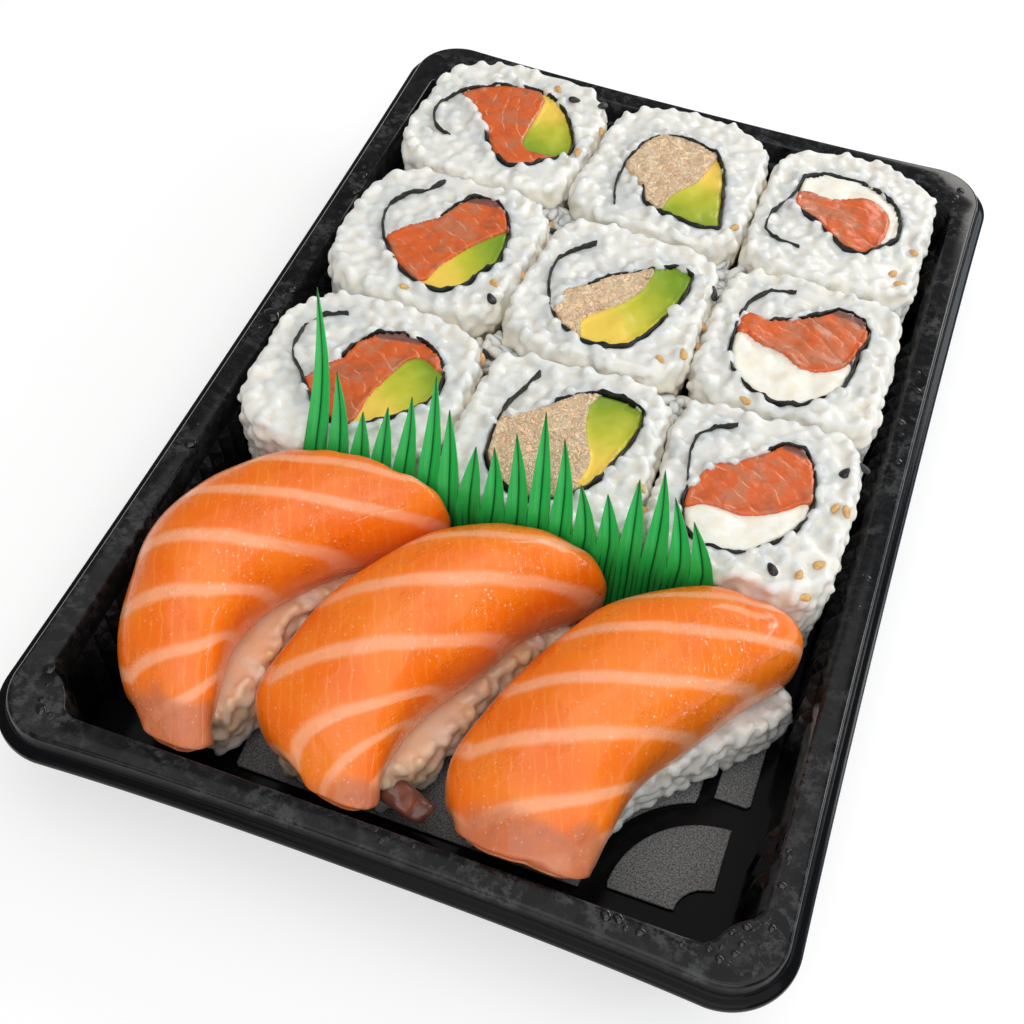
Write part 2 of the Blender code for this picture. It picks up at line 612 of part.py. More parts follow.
# ---- grass ----------------------------------------------------------------
def grass_profile(height):
    """Where the sheet stands, y and z, and its lean, at a height measured along it."""
    steps = 60
    y, z = GRASS_FOOT
    lean = 0.0
    for k in range(steps):
        y += height / steps * sin(lean)
        z += height / steps * cos(lean)
        past = (k + 1) * height / steps - GRASS_BEND
        lean = radians(GRASS_LEAN) * min(max(past / GRASS_EASE, 0.0), 1.0)
    return y, z, lean


def build_grass(material):
    """A pleated plastic sheet whose upper edge is cut into pointed blades."""
    blades = len(BLADE_TIPS)
    width = (GRASS_RIGHT - GRASS_LEFT) / blades
    front, back = [], []

    def place(x, height, pleat):
        """Add a point to both faces of the sheet and give back its number."""
        y, z, lean = grass_profile(height)
        y += PLEAT_DEPTH * pleat * cos(lean)
        z -= PLEAT_DEPTH * pleat * sin(lean)
        half = GRASS_THICK / 2
        front.append((x, y - half * cos(lean), z + half * sin(lean)))
        back.append((x, y + half * cos(lean), z - half * sin(lean)))
        return len(front) - 1

    grid = []
    for height in (0.0, GRASS_BEND, GRASS_VALLEY):
        row = [place(GRASS_LEFT + c * width / 2, height, 0.5 if c % 2 else -0.5) for c in range(2 * blades + 1)]
        grid.append(row)
    patches = []
    for low, high in zip(grid, grid[1:]):
        for c in range(2 * blades):
            patches.append((low[c], low[c + 1], high[c + 1], high[c]))
    for b, reach in enumerate(BLADE_TIPS):
        left, mid, right = grid[-1][2 * b:2 * b + 3]
        drift = BLADE_DRIFT * (reach - GRASS_VALLEY) / 12
        tip = place(GRASS_LEFT + (b + 0.5) * width + drift, reach, 0.3)
        patches += [(left, mid, tip), (mid, right, tip)]
    shift = len(front)
    faces = list(patches) + [tuple(shift + i for i in reversed(p)) for p in patches]
    borders = {}
    for patch in patches:
        for a, b in zip(patch, patch[1:] + patch[:1]):
            if (b, a) in borders:
                del borders[(b, a)]
            else:
                borders[(a, b)] = True
    faces += [(b, a, shift + a, shift + b) for a, b in borders]
    return make_object("grass_divider", front + back, faces, material, sharp=20)


# ---- all ------------------------------------------------------------------
def main():
    """Clear the file and build every piece."""
    for obj in list(bpy.data.objects):
        bpy.data.objects.remove(obj)
    paints = {
        "rice": paint("rice", (0.78, 0.76, 0.7), 0.45, scatter=0.3),
        "seaweed": paint("seaweed", (0.012, 0.016, 0.012), 0.5),
        SALMON: paint("salmon_filling", (0.75, 0.2, 0.06), 0.3, coat=0.2, scatter=0.2),
        TUNA: paint("tuna_filling", (0.75, 0.45, 0.28), 0.55),
        AVOCADO: paint("avocado_filling", (0.55, 0.56, 0.12), 0.45),
        CHEESE: paint("cream_cheese_filling", (0.86, 0.82, 0.7), 0.4),
        "fish": paint("salmon_slice", (0.85, 0.24, 0.06), 0.3, coat=0.3, scatter=0.2),
    }
    build_tray()
    for name, roll in ROLLS.items():
        build_roll(name, roll, paints)
    for name, form in NIGIRI.items():
        build_nigiri(name, form, paints)
    build_grass(paint("grass_green", (0.02, 0.3, 0.07), 0.35))


main()
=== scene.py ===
"""Looks of a takeaway sushi tray: nine rolls, three salmon nigiri and a grass divider.

Lengths in this file are millimetres; MM turns them into metres when a mesh is
made.  The tray lies with its length along Y, the nigiri at the -Y end, and
stands on the table at z = 0.  Every new piece sits at the origin with its
place in its mesh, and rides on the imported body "root".
"""

import logging
from abc import ABC, abstractmethod
from dataclasses import dataclass, field
from enum import Enum
from math import atan2, cos, pi, radians, sin, sqrt
from typing import Any, Sequence

import bpy
import numpy as np
from mathutils import Matrix, Vector
from mathutils.geometry import tessellate_polygon


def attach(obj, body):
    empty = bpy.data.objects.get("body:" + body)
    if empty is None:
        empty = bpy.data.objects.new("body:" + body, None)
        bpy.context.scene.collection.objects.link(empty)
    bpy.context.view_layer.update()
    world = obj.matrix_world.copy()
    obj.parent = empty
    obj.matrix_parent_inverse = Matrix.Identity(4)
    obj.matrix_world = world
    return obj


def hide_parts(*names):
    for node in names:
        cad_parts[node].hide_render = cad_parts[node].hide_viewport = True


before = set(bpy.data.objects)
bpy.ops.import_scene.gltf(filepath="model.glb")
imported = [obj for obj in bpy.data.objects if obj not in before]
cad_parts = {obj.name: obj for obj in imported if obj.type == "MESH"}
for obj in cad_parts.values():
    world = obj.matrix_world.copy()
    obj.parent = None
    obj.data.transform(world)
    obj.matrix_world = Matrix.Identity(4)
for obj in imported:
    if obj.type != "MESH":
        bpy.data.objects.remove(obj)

LOG = logging.getLogger("sushi_tray")
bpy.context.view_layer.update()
MM = 0.001
BODY = "root"

Array = np.ndarray
Material = bpy.types.Material
Piece = bpy.types.Object
Colour = tuple[float, float, float]
Point = tuple[float, float, float]


class Spot(Enum):
    """The nine places of the rolls, named as the CAD nodes are."""

    BACK_LEFT = "back_left"
    BACK_MIDDLE = "back_middle"
    BACK_RIGHT = "back_right"
    MIDDLE_LEFT = "middle_left"
    MIDDLE = "middle"
    MIDDLE_RIGHT = "middle_right"
    FRONT_LEFT = "front_left"
    FRONT_MIDDLE = "front_middle"
    FRONT_RIGHT = "front_right"


class Filling(Enum):
    """What is rolled into the rice."""

    SALMON = "salmon"
    TUNA = "tuna"
    AVOCADO = "avocado"
    CREAM_CHEESE = "cream_cheese"


# ---- arrays
def smoothstep(values: Array, low: float, high: float) -> Array:
    """Ease from 0 at low to 1 at high: 3t^2 - 2t^3 of the clipped fraction t.

    Args:
        values: Numbers to ease.
        low: Where the ease starts.
        high: Where the ease ends.

    Returns:
        Numbers between 0 and 1.
    """
    t = np.clip((values - low) / (high - low), 0.0, 1.0)
    return t * t * (3.0 - 2.0 * t)


def lattice(cells: Array, seed: int) -> Array:
    """Random number in [-1, 1] for each whole-numbered cell: the fraction of a large sine.

    Args:
        cells: Whole coordinates, shape (n, 3).
        seed: Changes the pattern.

    Returns:
        One number for each cell.
    """
    mixed = cells @ np.array((127.1, 311.7, 74.7)) + 53.3 * seed
    wave = np.sin(mixed) * 43758.5453
    return 2.0 * (wave - np.floor(wave)) - 1.0


def lumps(points: Array, cell: float, seed: int = 1, octaves: int = 2) -> Array:
    """Smooth noise: lattice values blended with smoothstep weights, halved for each octave.

    Args:
        points: Positions, shape (n, 3).
        cell: Size of the largest lumps.
        seed: Changes the pattern.
        octaves: How many finer layers are added.

    Returns:
        Numbers around -1 to 1, one for each point.
    """
    total = np.zeros(len(points))
    strength = 1.0
    for octave in range(octaves):
        scaled = points / cell * 2.0 ** octave
        base = np.floor(scaled)
        part = scaled - base
        part = part * part * (3.0 - 2.0 * part)
        value = np.zeros(len(points))
        for corner in np.ndindex(2, 2, 2):
            weight = np.prod(np.where(corner, part, 1.0 - part), axis=1)
            value += weight * lattice(base + np.array(corner), seed + 17 * octave)
        total += strength * value
        strength *= 0.5
    return total


def curve(points: Sequence[Sequence[float]], count: int) -> Array:
    """Catmull-Rom curve through the points, cut into evenly spaced stops.

    Args:
        points: Points of any dimension.
        count: How many stops come back.

    Returns:
        Stops, shape (count, dimension).
    """
    p = np.asarray(points, float)
    p = np.vstack((2 * p[:1] - p[1:2], p, 2 * p[-1:] - p[-2:-1]))
    a, b, c, d = (p[k:len(p) - 3 + k, None] for k in range(4))
    t = np.linspace(0.0, 1.0, 13)[:-1][None, :, None]
    runs = 0.5 * (2 * b + (c - a) * t + (2 * a - 5 * b + 4 * c - d) * t ** 2
                  + (3 * b - a - 3 * c + d) * t ** 3)
    dense = np.vstack((runs.reshape(-1, p.shape[1]), p[-2:-1]))
    along = np.concatenate(([0.0], np.cumsum(np.linalg.norm(np.diff(dense, axis=0), axis=1))))
    stops = np.linspace(0.0, along[-1], count)
    return np.column_stack([np.interp(stops, along, dense[:, k]) for k in range(p.shape[1])])


def resample(loop: Array, spacing: float) -> Array:
    """Closed outline cut into straight steps of about the given spacing.

    Args:
        loop: Outline, shape (n, 2).
        spacing: Distance between stops.

    Returns:
        The outline with evenly spaced stops.
    """
    ring = np.vstack((loop, loop[:1]))
    along = np.concatenate(([0.0], np.cumsum(np.hypot(*np.diff(ring, axis=0).T))))
    count = max(8, int(round(along[-1] / spacing)))
    stops = np.linspace(0.0, along[-1], count + 1)[:-1]
    return np.column_stack([np.interp(stops, along, ring[:, k]) for k in (0, 1)])


def relax(loop: Array, rounds: int, weight: float) -> Array:
    """Soften a closed outline: each stop moves towards the middle of its two neighbours.

    Args:
        loop: Outline, shape (n, 2).
        rounds: How often it is done.
        weight: Share of the way to the middle.

    Returns:
        The softened outline.
    """
    for _ in range(rounds):
        middle = 0.5 * (np.roll(loop, 1, axis=0) + np.roll(loop, -1, axis=0))
        loop = loop + weight * (middle - loop)
    return loop


def signed_area(loop: Array) -> float:
    """Area inside an outline, positive when it runs anticlockwise."""
    x, y = loop[:, 0], loop[:, 1]
    return 0.5 * float(np.sum(x * np.roll(y, -1) - y * np.roll(x, -1)))


def outward(loop: Array) -> Array:
    """Unit vectors that point out of an anticlockwise outline.

    Args:
        loop: Outline, shape (n, 2).

    Returns:
        The step between the two neighbours of each stop, turned right by a quarter.
    """
    step = np.roll(loop, -1, axis=0) - np.roll(loop, 1, axis=0)
    step = step / np.maximum(np.hypot(step[:, 0], step[:, 1]), 1e-9)[:, None]
    return np.column_stack((step[:, 1], -step[:, 0]))


def inside(points: Array, loop: Array) -> Array:
    """Which points lie in an outline: an odd number of its sides is crossed going right.

    Args:
        points: Positions, shape (n, 2).
        loop: Outline, shape (m, 2).

    Returns:
        Truth values, one for each point.
    """
    x, y = points[:, :1], points[:, 1:2]
    x0, y0 = loop[:, 0][None], loop[:, 1][None]
    x1, y1 = np.roll(loop[:, 0], -1)[None], np.roll(loop[:, 1], -1)[None]
    spans = (y0 > y) != (y1 > y)
    rise = np.where(y1 == y0, 1e-12, y1 - y0)
    crossing = x < (x1 - x0) * (y - y0) / rise + x0
    return np.sum(spans & crossing, axis=1) % 2 == 1


def nearest(points: Array, loop: Array) -> Array:
    """Distance from each point to the closest stop of an outline.

    Args:
        points: Positions, shape (n, 2).
        loop: Outline stops, shape (m, 2).

    Returns:
        Distances.
    """
    gap = points[:, None, :] - loop[None, :, :]
    return np.hypot(gap[..., 0], gap[..., 1]).min(axis=1)


def arc_points(centre: Sequence[float], radius: float, start: float, end: float, count: int) -> Array:
    """Points on an arc: centre + radius (cos a, sin a).

    Args:
        centre: Its centre.
        radius: Its radius.
        start: First angle a in radians.
        end: Last angle.
        count: How many points.

    Returns:
        Points, shape (count, 2).
    """
    angles = np.linspace(start, end, count)
    return np.asarray(centre) + radius * np.column_stack((np.cos(angles), np.sin(angles)))


def four_corners(corner: Array) -> list[Array]:
    """A corner in the +X +Y quarter and its mirror images, anticlockwise.

    Args:
        corner: Points from the corner's X side to its Y side, shape (n, 2).

    Returns:
        The four corners.
    """
    return [corner, corner[::-1] * (-1, 1), corner * (-1, -1), corner[::-1] * (1, -1)]


# ---- meshes
@dataclass
class Mesh:
    """Vertices in millimetres with faces, which several shapes can be added to."""

    verts: list[Array] = field(default_factory=list)
    faces: list[Array] = field(default_factory=list)
    marks: dict[str, list[Array]] = field(default_factory=dict)
    count: int = 0

    def add(self, verts: Array, faces: Array, **marks: Array) -> int:
        """Add one shape.

        Args:
            verts: Vertices, shape (n, 3).
            faces: Rows of vertex numbers of this shape.
            marks: Named values, one for each vertex.

        Returns:
            The number of the shape's first vertex.
        """
        first = self.count
        self.verts.append(np.asarray(verts, float))
        self.faces.append(np.asarray(faces, int) + first)
        for name, values in marks.items():
            self.marks.setdefault(name, []).append(np.broadcast_to(values, len(verts)))
        self.count += len(verts)
        return first

    def make(self, name: str, finish: Material, slot: str,
             stands_for: Sequence[str] = (), crease: float = 180.0) -> Piece:
        """Turn the shapes into one named piece of the scene.

        Args:
            name: Name of the piece.
            finish: Its material.
            slot: The record's material slot.
            stands_for: CAD nodes that the piece replaces.
            crease: Edges sharper than this many degrees stay sharp.

        Returns:
            The new object.
        """
        mesh = bpy.data.meshes.new(name)
        rows = [face for block in self.faces for face in block.tolist()]
        mesh.from_pydata((np.vstack(self.verts) * MM).tolist(), [], rows)
        for mark, blocks in self.marks.items():
            store = mesh.attributes.new(mark, "FLOAT", "POINT")
            store.data.foreach_set("value", np.concatenate(blocks).astype(np.float32))
        mesh.validate()
        mesh.shade_smooth()
        if crease < 180.0:
            mesh.set_sharp_from_angle(angle=radians(crease))
        mesh.materials.append(finish)
        piece = bpy.data.objects.new(name, mesh)
        bpy.context.scene.collection.objects.link(piece)
        place(piece, slot, stands_for)
        return piece


def place(piece: Piece, slot: str, stands_for: Sequence[str] = ()) -> None:
    """Let a piece ride on the tray's body and hide what it replaces.

    Args:
        piece: The new object.
        slot: The record's material slot; not used.
        stands_for: CAD nodes that the piece replaces.
    """
    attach(piece, BODY)
    if stands_for:
        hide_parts(*stands_for)
    LOG.info("%s: %d faces", piece.name, len(piece.data.polygons))


def grid_faces(rows: int, columns: int, round_rows: bool = False, round_columns: bool = False,
               flip: bool = False) -> Array:
    """Quads between the points of a grid whose vertex number is row * columns + column.

    Args:
        rows: Number of rows.
        columns: Number of columns.
        round_rows: Whether the last row joins the first.
        round_columns: Whether the last column joins the first.
        flip: Turns the faces round.

    Returns:
        Faces, shape (n, 4).
    """
    r = np.arange(rows if round_rows else rows - 1)[:, None]
    c = np.arange(columns if round_columns else columns - 1)[None, :]
    r1, c1 = (r + 1) % rows, (c + 1) % columns
    quads = np.stack((r * columns + c, r * columns + c1, r1 * columns + c1, r1 * columns + c), axis=-1)
    quads = quads.reshape(-1, 4)
    return quads[:, ::-1] if flip else quads


def fill_flat(loops: Sequence[Array], upward: bool) -> Array:
    """Triangles that fill flat outlines, the outer one first and then the holes in it.

    Args:
        loops: Outlines, each of shape (n, 2).
        upward: Whether the faces look up.

    Returns:
        Faces that count the stops of all the outlines in turn.
    """
    rows = np.array(tessellate_polygon([[(x, y, 0.0) for x, y in loop] for loop in loops]))
    p = np.vstack(loops)
    a, b, c = p[rows[:, 0]], p[rows[:, 1]], p[rows[:, 2]]
    turn = np.sum((b[:, 0] - a[:, 0]) * (c[:, 1] - a[:, 1]) - (b[:, 1] - a[:, 1]) * (c[:, 0] - a[:, 0]))
    return rows if (turn > 0) == upward else rows[:, ::-1]


def round_rings(rings: Array, radius: float, steps: int = 3) -> Array:
    """Round the edges between stacked rings: each inner ring becomes a short quadratic curve.

    Args:
        rings: Rings with equal numbers of points, shape (rings, points, 3).
        radius: Length that each rounding takes from the faces beside it.
        steps: Rings in each rounding.

    Returns:
        More rings, with the first and last kept.
    """
    before, here, after = rings[:-2], rings[1:-1], rings[2:]
    back, on = before - here, after - here
    back_long = np.maximum(np.linalg.norm(back, axis=-1, keepdims=True), 1e-6)
    on_long = np.maximum(np.linalg.norm(on, axis=-1, keepdims=True), 1e-6)
    start = here + back / back_long * np.minimum(radius, 0.45 * back_long)
    end = here + on / on_long * np.minimum(radius, 0.45 * on_long)
    t = np.linspace(0.0, 1.0, steps)[None, :, None, None]
    arcs = (1 - t) ** 2 * start[:, None] + 2 * t * (1 - t) * here[:, None] + t ** 2 * end[:, None]
    return np.concatenate((rings[:1], arcs.reshape(-1, *rings.shape[1:]), rings[-1:]))


def column(items: Any, name: str, width: int, kind: type = float) -> Array:
    """One property of all items of a mesh, as an array with a row for each item.

    Args:
        items: The mesh's vertices, normals, loops or triangles.
        name: Name of the property.
        width: How many numbers it has.
        kind: Whole or real numbers.

    Returns:
        Numbers, shape (items, width).
    """
    values = np.empty(len(items) * width, kind)
    items.foreach_get(name, values)
    return values.reshape(-1, width)


def cad_skin(node: str) -> tuple[Array, Array]:
    """Merged vertices and triangles of a CAD node.

    Args:
        node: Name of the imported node.

    Returns:
        Vertices in millimetres and rows of their numbers.
    """
    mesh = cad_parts[node].data
    mesh.calc_loop_triangles()
    co = column(mesh.vertices, "co", 3) / MM
    tris = column(mesh.loop_triangles, "vertices", 3, int)
    _, first, same = np.unique(np.round(co, 2), axis=0, return_index=True, return_inverse=True)
    tris = same.ravel()[tris]
    whole = (tris[:, 0] != tris[:, 1]) & (tris[:, 1] != tris[:, 2]) & (tris[:, 0] != tris[:, 2])
    return co[first], tris[whole]


def top_loops(node: str) -> tuple[list[Array], float]:
    """Outlines of a CAD node's flat top: the sides that only one of its triangles has.

    Args:
        node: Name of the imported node.

    Returns:
        Outlines in millimetres, the largest first and all anticlockwise, and the top's height.
    """
    co, tris = cad_skin(node)
    top = float(co[:, 2].max())
    flat = tris[(co[tris][..., 2] > top - 0.05).all(axis=1)]
    sides = {(int(a), int(b)) for tri in flat for a, b in zip(tri, np.roll(tri, -1))}
    onward = {a: b for a, b in sides if (b, a) not in sides}
    loops = []
    while onward:
        start, here = onward.popitem()
        chain = [start]
        while here != start:
            chain.append(here)
            here = onward.pop(here)
        loop = co[chain, :2]
        loops.append(loop if signed_area(loop) > 0 else loop[::-1])
    loops.sort(key=lambda loop: -abs(signed_area(loop)))
    return loops, top


# ---- shaders
class Value:
    """A socket whose arithmetic adds Math nodes to the material that it belongs to."""

    def __init__(self, maker: "Finisher", socket: bpy.types.NodeSocket) -> None:
        """Keep the socket and the material it belongs to."""
        self.maker = maker
        self.socket = socket

    def _math(self, operation: str, a: Any, b: Any = 0.0, clamp: bool = False) -> "Value":
        """Add one Math node that works on a and b."""
        settings = {"operation": operation, "use_clamp": clamp}
        return self.maker.node("ShaderNodeMath", settings, {0: a, 1: b})

    def __add__(self, other: Any) -> "Value":
        """self + other."""
        return self._math("ADD", self, other)

    __radd__ = __add__

    def __sub__(self, other: Any) -> "Value":
        """self - other."""
        return self._math("SUBTRACT", self, other)

    def __rsub__(self, other: Any) -> "Value":
        """other - self."""
        return self._math("SUBTRACT", other, self)

    def __mul__(self, other: Any) -> "Value":
        """self * other."""
        return self._math("MULTIPLY", self, other)

    __rmul__ = __mul__

    def __pow__(self, other: Any) -> "Value":
        """self to the power of other."""
        return self._math("POWER", self, other)

    def __abs__(self) -> "Value":
        """Distance of self from zero."""
        return self._math("ABSOLUTE", self)

    def wave(self) -> "Value":
        """Sine of self."""
        return self._math("SINE", self)

    def clip(self) -> "Value":
        """Self held between 0 and 1."""
        return self._math("ADD", self, 0.0, clamp=True)

    def rise(self, low: float, high: float) -> "Value":
        """Smooth step from 0 at low to 1 at high."""
        settings = {"interpolation_type": "SMOOTHSTEP", "clamp": True}
        sockets = {"Value": self, "From Min": low, "From Max": high, "To Min": 0.0, "To Max": 1.0}
        return self.maker.node("ShaderNodeMapRange", settings, sockets)


class Finisher:
    """Builds one material around its Principled shader."""

    def __init__(self, name: str) -> None:
        """Start a material with the given name."""
        self.material = bpy.data.materials.new(name)
        self.material.use_nodes = True
        self.tree = self.material.node_tree
        self.shader = self.tree.nodes["Principled BSDF"]

    def node(self, kind: str, settings: dict[str, Any], sockets: dict[Any, Any], out: Any = 0) -> Value:
        """Add a node.

        Args:
            kind: Name of the node type.
            settings: The node's own options, set first.
            sockets: Input name or number to a value, a colour or another socket.
            out: Name or number of the output that comes back.

        Returns:
            The output socket.
        """
        made = self.tree.nodes.new(kind)
        for name, choice in settings.items():
            setattr(made, name, choice)
        for key, given in sockets.items():
            self.feed(made.inputs[key], given)
        return Value(self, made.outputs[out])

    def feed(self, socket: bpy.types.NodeSocket, given: Any) -> None:
        """Link a socket, or set it to a number or colour.

        Args:
            socket: The socket to feed.
            given: A socket, a number, a vector or a colour of three parts.
        """
        if isinstance(given, Value):
            self.tree.links.new(given.socket, socket)
        elif isinstance(given, tuple) and len(given) == 3 and len(socket.default_value) == 4:
            socket.default_value = (*given, 1.0)
        else:
            socket.default_value = given

    def mix(self, share: Any, first: Any, second: Any) -> Value:
        """Colour between first, at share 0, and second, at share 1."""
        return self.node("ShaderNodeMix", {"data_type": "RGBA"}, {0: share, 6: first, 7: second}, out=2)

    def place(self) -> Value:
        """Object coordinates, in metres."""
        return self.node("ShaderNodeTexCoord", {}, {}, out="Object")

    def scaled(self, scale: Point, turn: Point) -> Value:
        """Coordinates turned by degrees, then stretched by a factor along each axis."""
        turned = self.node("ShaderNodeMapping", {"vector_type": "POINT"},
                           {"Vector": self.place(), "Rotation": tuple(radians(t) for t in turn)})
        return self.node("ShaderNodeMapping", {"vector_type": "POINT"}, {"Vector": turned, "Scale": scale})

    def noise(self, size: float, detail: float = 2.0, rough: float = 0.5, twist: float = 0.0,
              at: Value | None = None) -> Value:
        """Soft noise whose lumps have a set size.

        Args:
            size: Size of the lumps in millimetres.
            detail: How many finer layers are added.
            rough: Strength of each finer layer.
            twist: How far the lumps are pulled about.
            at: Coordinates, if not the object's own.

        Returns:
            Numbers between 0 and 1.
        """
        sockets = {"Vector": at or self.place(), "Scale": 1.0 / (size * MM), "Detail": detail,
                   "Roughness": rough, "Distortion": twist}
        return self.node("ShaderNodeTexNoise", {}, sockets)

    def cells(self, size: float) -> Value:
        """Distance to the closest of scattered centres about size millimetres apart."""
        return self.node("ShaderNodeTexVoronoi", {"feature": "F1"},
                         {"Vector": self.place(), "Scale": 1.0 / (size * MM)}, out="Distance")

    def mark(self, name: str) -> Value:
        """A value that the mesh carries for each vertex."""
        return self.node("ShaderNodeAttribute", {"attribute_name": name}, {}, out="Fac")

    def bump(self, height: Value, depth: float) -> Value:
        """Surface relief whose height 1 stands depth millimetres high."""
        return self.node("ShaderNodeBump", {}, {"Height": height, "Distance": depth * MM, "Strength": 1.0})

    def done(self, colour: Any, rough: Any, normal: Value | None = None,
             soft: tuple[float, Colour, float] | None = None, coat: tuple[Any, float] | None = None,
             **fixed: Any) -> Material:
        """Set the shader's sockets.

        Args:
            colour: Base colour or the socket that gives it.
            rough: Roughness or the socket that gives it.
            normal: Relief, if there is any.
            soft: Weight, radius by colour and scale of the light that passes under the surface.
            coat: Weight and roughness of the wet or glossy coat.
            fixed: Other sockets, with underscores for spaces.

        Returns:
            The finished material.
        """
        fixed |= {"Base_Color": colour, "Roughness": rough}
        if normal is not None:
            fixed["Normal"] = normal
        if soft is not None:
            fixed |= zip(("Subsurface_Weight", "Subsurface_Radius", "Subsurface_Scale"), soft)
        if coat is not None:
            fixed |= zip(("Coat_Weight", "Coat_Roughness"), coat)
        for name, given in fixed.items():
            self.feed(self.shader.inputs[name.replace("_", " ")], given)
        return self.material


@dataclass(frozen=True)
class RiceFinish:
    """Pressed sushi rice: milky, a little see-through, with warm painted shade between the grains."""

    milk: Colour = (0.86, 0.85, 0.80)
    glassy: Colour = (0.67, 0.69, 0.68)
    # warm: colour of the painted shade in crevices and between the rolls.
    warm: Colour = (0.83, 0.73, 0.55)
    peach: Colour = (0.97, 0.60, 0.34)

    def make(self) -> Material:
        """Milky white that varies from grain to grain, with beige painted shade where it lies deep.

        Returns:
            The material.
        """
        f = Finisher("rice")
        tone = f.mark("tone")
        deep = f.mark("deep")
        cloud = f.noise(7.0, 2.0)
        colour = f.mix((tone + 0.3 * cloud - 0.15).clip(), self.milk, self.glassy)
        # Painted shade: warm beige where the mark "deep" is high.
        colour = f.mix((deep * (0.45 + 0.9 * cloud)).clip(), colour, self.warm)
        colour = f.mix((f.mark("peach") * (0.45 + cloud)).clip(), colour, self.peach)
        relief = f.bump(f.noise(1.3, 3.0), 0.10)
        return f.done(colour, 0.22 + 0.22 * f.noise(1.8, 1.0), relief, (0.80, (1.0, 0.85, 0.65), 0.0022),
                      (0.30, 0.12), IOR=1.4)


@dataclass(frozen=True)
class SeaweedFinish:
    """Toasted seaweed sheet, near black with a faint green-brown cast."""

    dark: Colour = (0.006, 0.008, 0.006)
    lit: Colour = (0.022, 0.024, 0.016)

    def make(self) -> Material:
        """Fine fibrous mottling over near black.

        Returns:
            The material.
        """
        f = Finisher("seaweed")
        fibre = f.noise(0.8, 4.0, 0.65)
        relief = f.bump(fibre, 0.18)
        return f.done(f.mix(fibre.rise(0.4, 0.75), self.dark, self.lit), 0.42 + 0.2 * f.noise(2.0), relief)


@dataclass(frozen=True)
class SalmonFinish:
    """Raw salmon cut across: brown-orange with pale curved fat lines and a dark membrane."""

    flesh: Colour = (0.70, 0.118, 0.016)
    deep: Colour = (0.33, 0.070, 0.025)
    fat: Colour = (0.84, 0.43, 0.27)
    pale: Colour = (0.56, 0.165, 0.070)
    membrane: Colour = (0.20, 0.075, 0.055)

    def make(self) -> Material:
        """Fat lines follow the mark "flake", whose whole numbers are the lines.

        Returns:
            The material.
        """
        f = Finisher("salmon")
        wobble = f.noise(5.0, 3.0)
        flake = f.mark("flake") + wobble * 1.1
        line = abs((flake * pi).wave())
        fine = f.noise(1.1, 4.0, 0.6)
        thin = (1.0 - line.rise(0.03, 0.26)) * f.noise(3.0, 2.0).rise(0.40, 0.66)
        colour = f.mix(f.noise(4.5, 2.0).rise(0.34, 0.54), self.pale, self.flesh)
        colour = f.mix(f.noise(3.6, 3.0, twist=0.5).rise(0.50, 0.75) * 0.6, colour, self.deep)
        colour = f.mix(fine.rise(0.5, 0.9) * 0.25, colour, self.fat)
        colour = f.mix((thin * 0.65).clip(), colour, self.fat)
        skin = (f.mark("skin") + 0.5 * wobble - 0.25).rise(0.35, 0.75)
        colour = f.mix(skin, colour, self.membrane)
        relief = f.bump(fine + line * 0.5, 0.16)
        return f.done(colour, 0.22 + 0.22 * fine, relief, (0.12, (1.0, 0.35, 0.2), 0.0012), (0.35, 0.16),
                      IOR=1.42)


@dataclass(frozen=True)
class SlabFinish:
    """The draped salmon slice: saturated orange with broad, soft, pale stripes, and painted highlights."""

    orange: Colour = (0.95, 0.215, 0.010)
    deep: Colour = (0.91, 0.160, 0.003)
    stripe: Colour = (0.98, 0.40, 0.20)
    pale: Colour = (0.97, 0.30, 0.045)
    thin: Colour = (0.54, 0.155, 0.065)
    painted_highlight: Colour = (1.0, 0.80, 0.66)

    def make(self) -> Material:
        """Stripes lie at whole values of the mark "band"; fibres run across them.

        Returns:
            The material.
        """
        f = Finisher("salmon_slab")
        wobble = f.noise(7.0, 2.0)
        band = f.mark("band")
        nearness = abs(((band + (wobble - 0.5) * 0.10) * pi).wave())
        core = 1.0 - nearness.rise(0.16, 0.52)
        halo = 1.0 - nearness.rise(0.25, 1.0)
        along = f.mark("across") + (f.noise(4.0, 2.0) - 0.5) * 0.9
        fibre = (1.0 - abs((along * pi).wave()).rise(0.0, 0.55)) * f.noise(3.5, 1.0).rise(0.30, 0.60)
        speck = f.noise(0.50, 3.0, 0.6)
        wet = f.noise(6.0, 2.0).rise(0.48, 0.66)
        flank = f.mark("flank")
        # Painted highlights: glint threads, mostly on the right flank, and glint dots, mixed towards near
        # white.
        glint_wave = f.mark("across") * 2.2 + f.noise(2.2, 2.0) * 2.6
        glint_thread = (1.0 - abs((glint_wave * pi).wave()).rise(0.0, 0.24)) * f.noise(0.9, 2.0).rise(0.46, 0.58)
        glint_dots = (1.0 - f.cells(1.25).rise(0.10, 0.22)) * f.noise(3.0, 2.0).rise(0.46, 0.58)
        colour = f.mix(f.noise(11.0, 1.0).rise(0.3, 0.7), self.deep, self.orange)
        colour = f.mix((halo * 0.15 + fibre * 0.42).clip(), colour, self.pale)
        colour = f.mix((core * (0.60 + 0.5 * f.noise(3.0, 2.0))).clip(), colour, self.stripe)
        colour = f.mix(f.mark("edge") * 0.45, colour, self.stripe)
        colour = f.mix((f.mark("tail") * (0.55 + 0.6 * f.noise(2.5, 2.0))).clip(), colour, self.thin)
        highlight_mask = glint_thread * flank * f.noise(3.2, 1.0).rise(0.42, 0.60) * 0.75 + glint_dots * (0.20 + 0.5 * flank)
        colour = f.mix(highlight_mask.clip(), colour, self.painted_highlight)
        relief = f.bump(fibre * 0.10 + core * 0.25 + speck * (0.25 + 1.2 * wet), 0.20)
        return f.done(colour, 0.30 - 0.10 * wet, relief, (0.10, (1.0, 0.4, 0.2), 0.0015), (0.38, 0.06),
                      IOR=1.36)


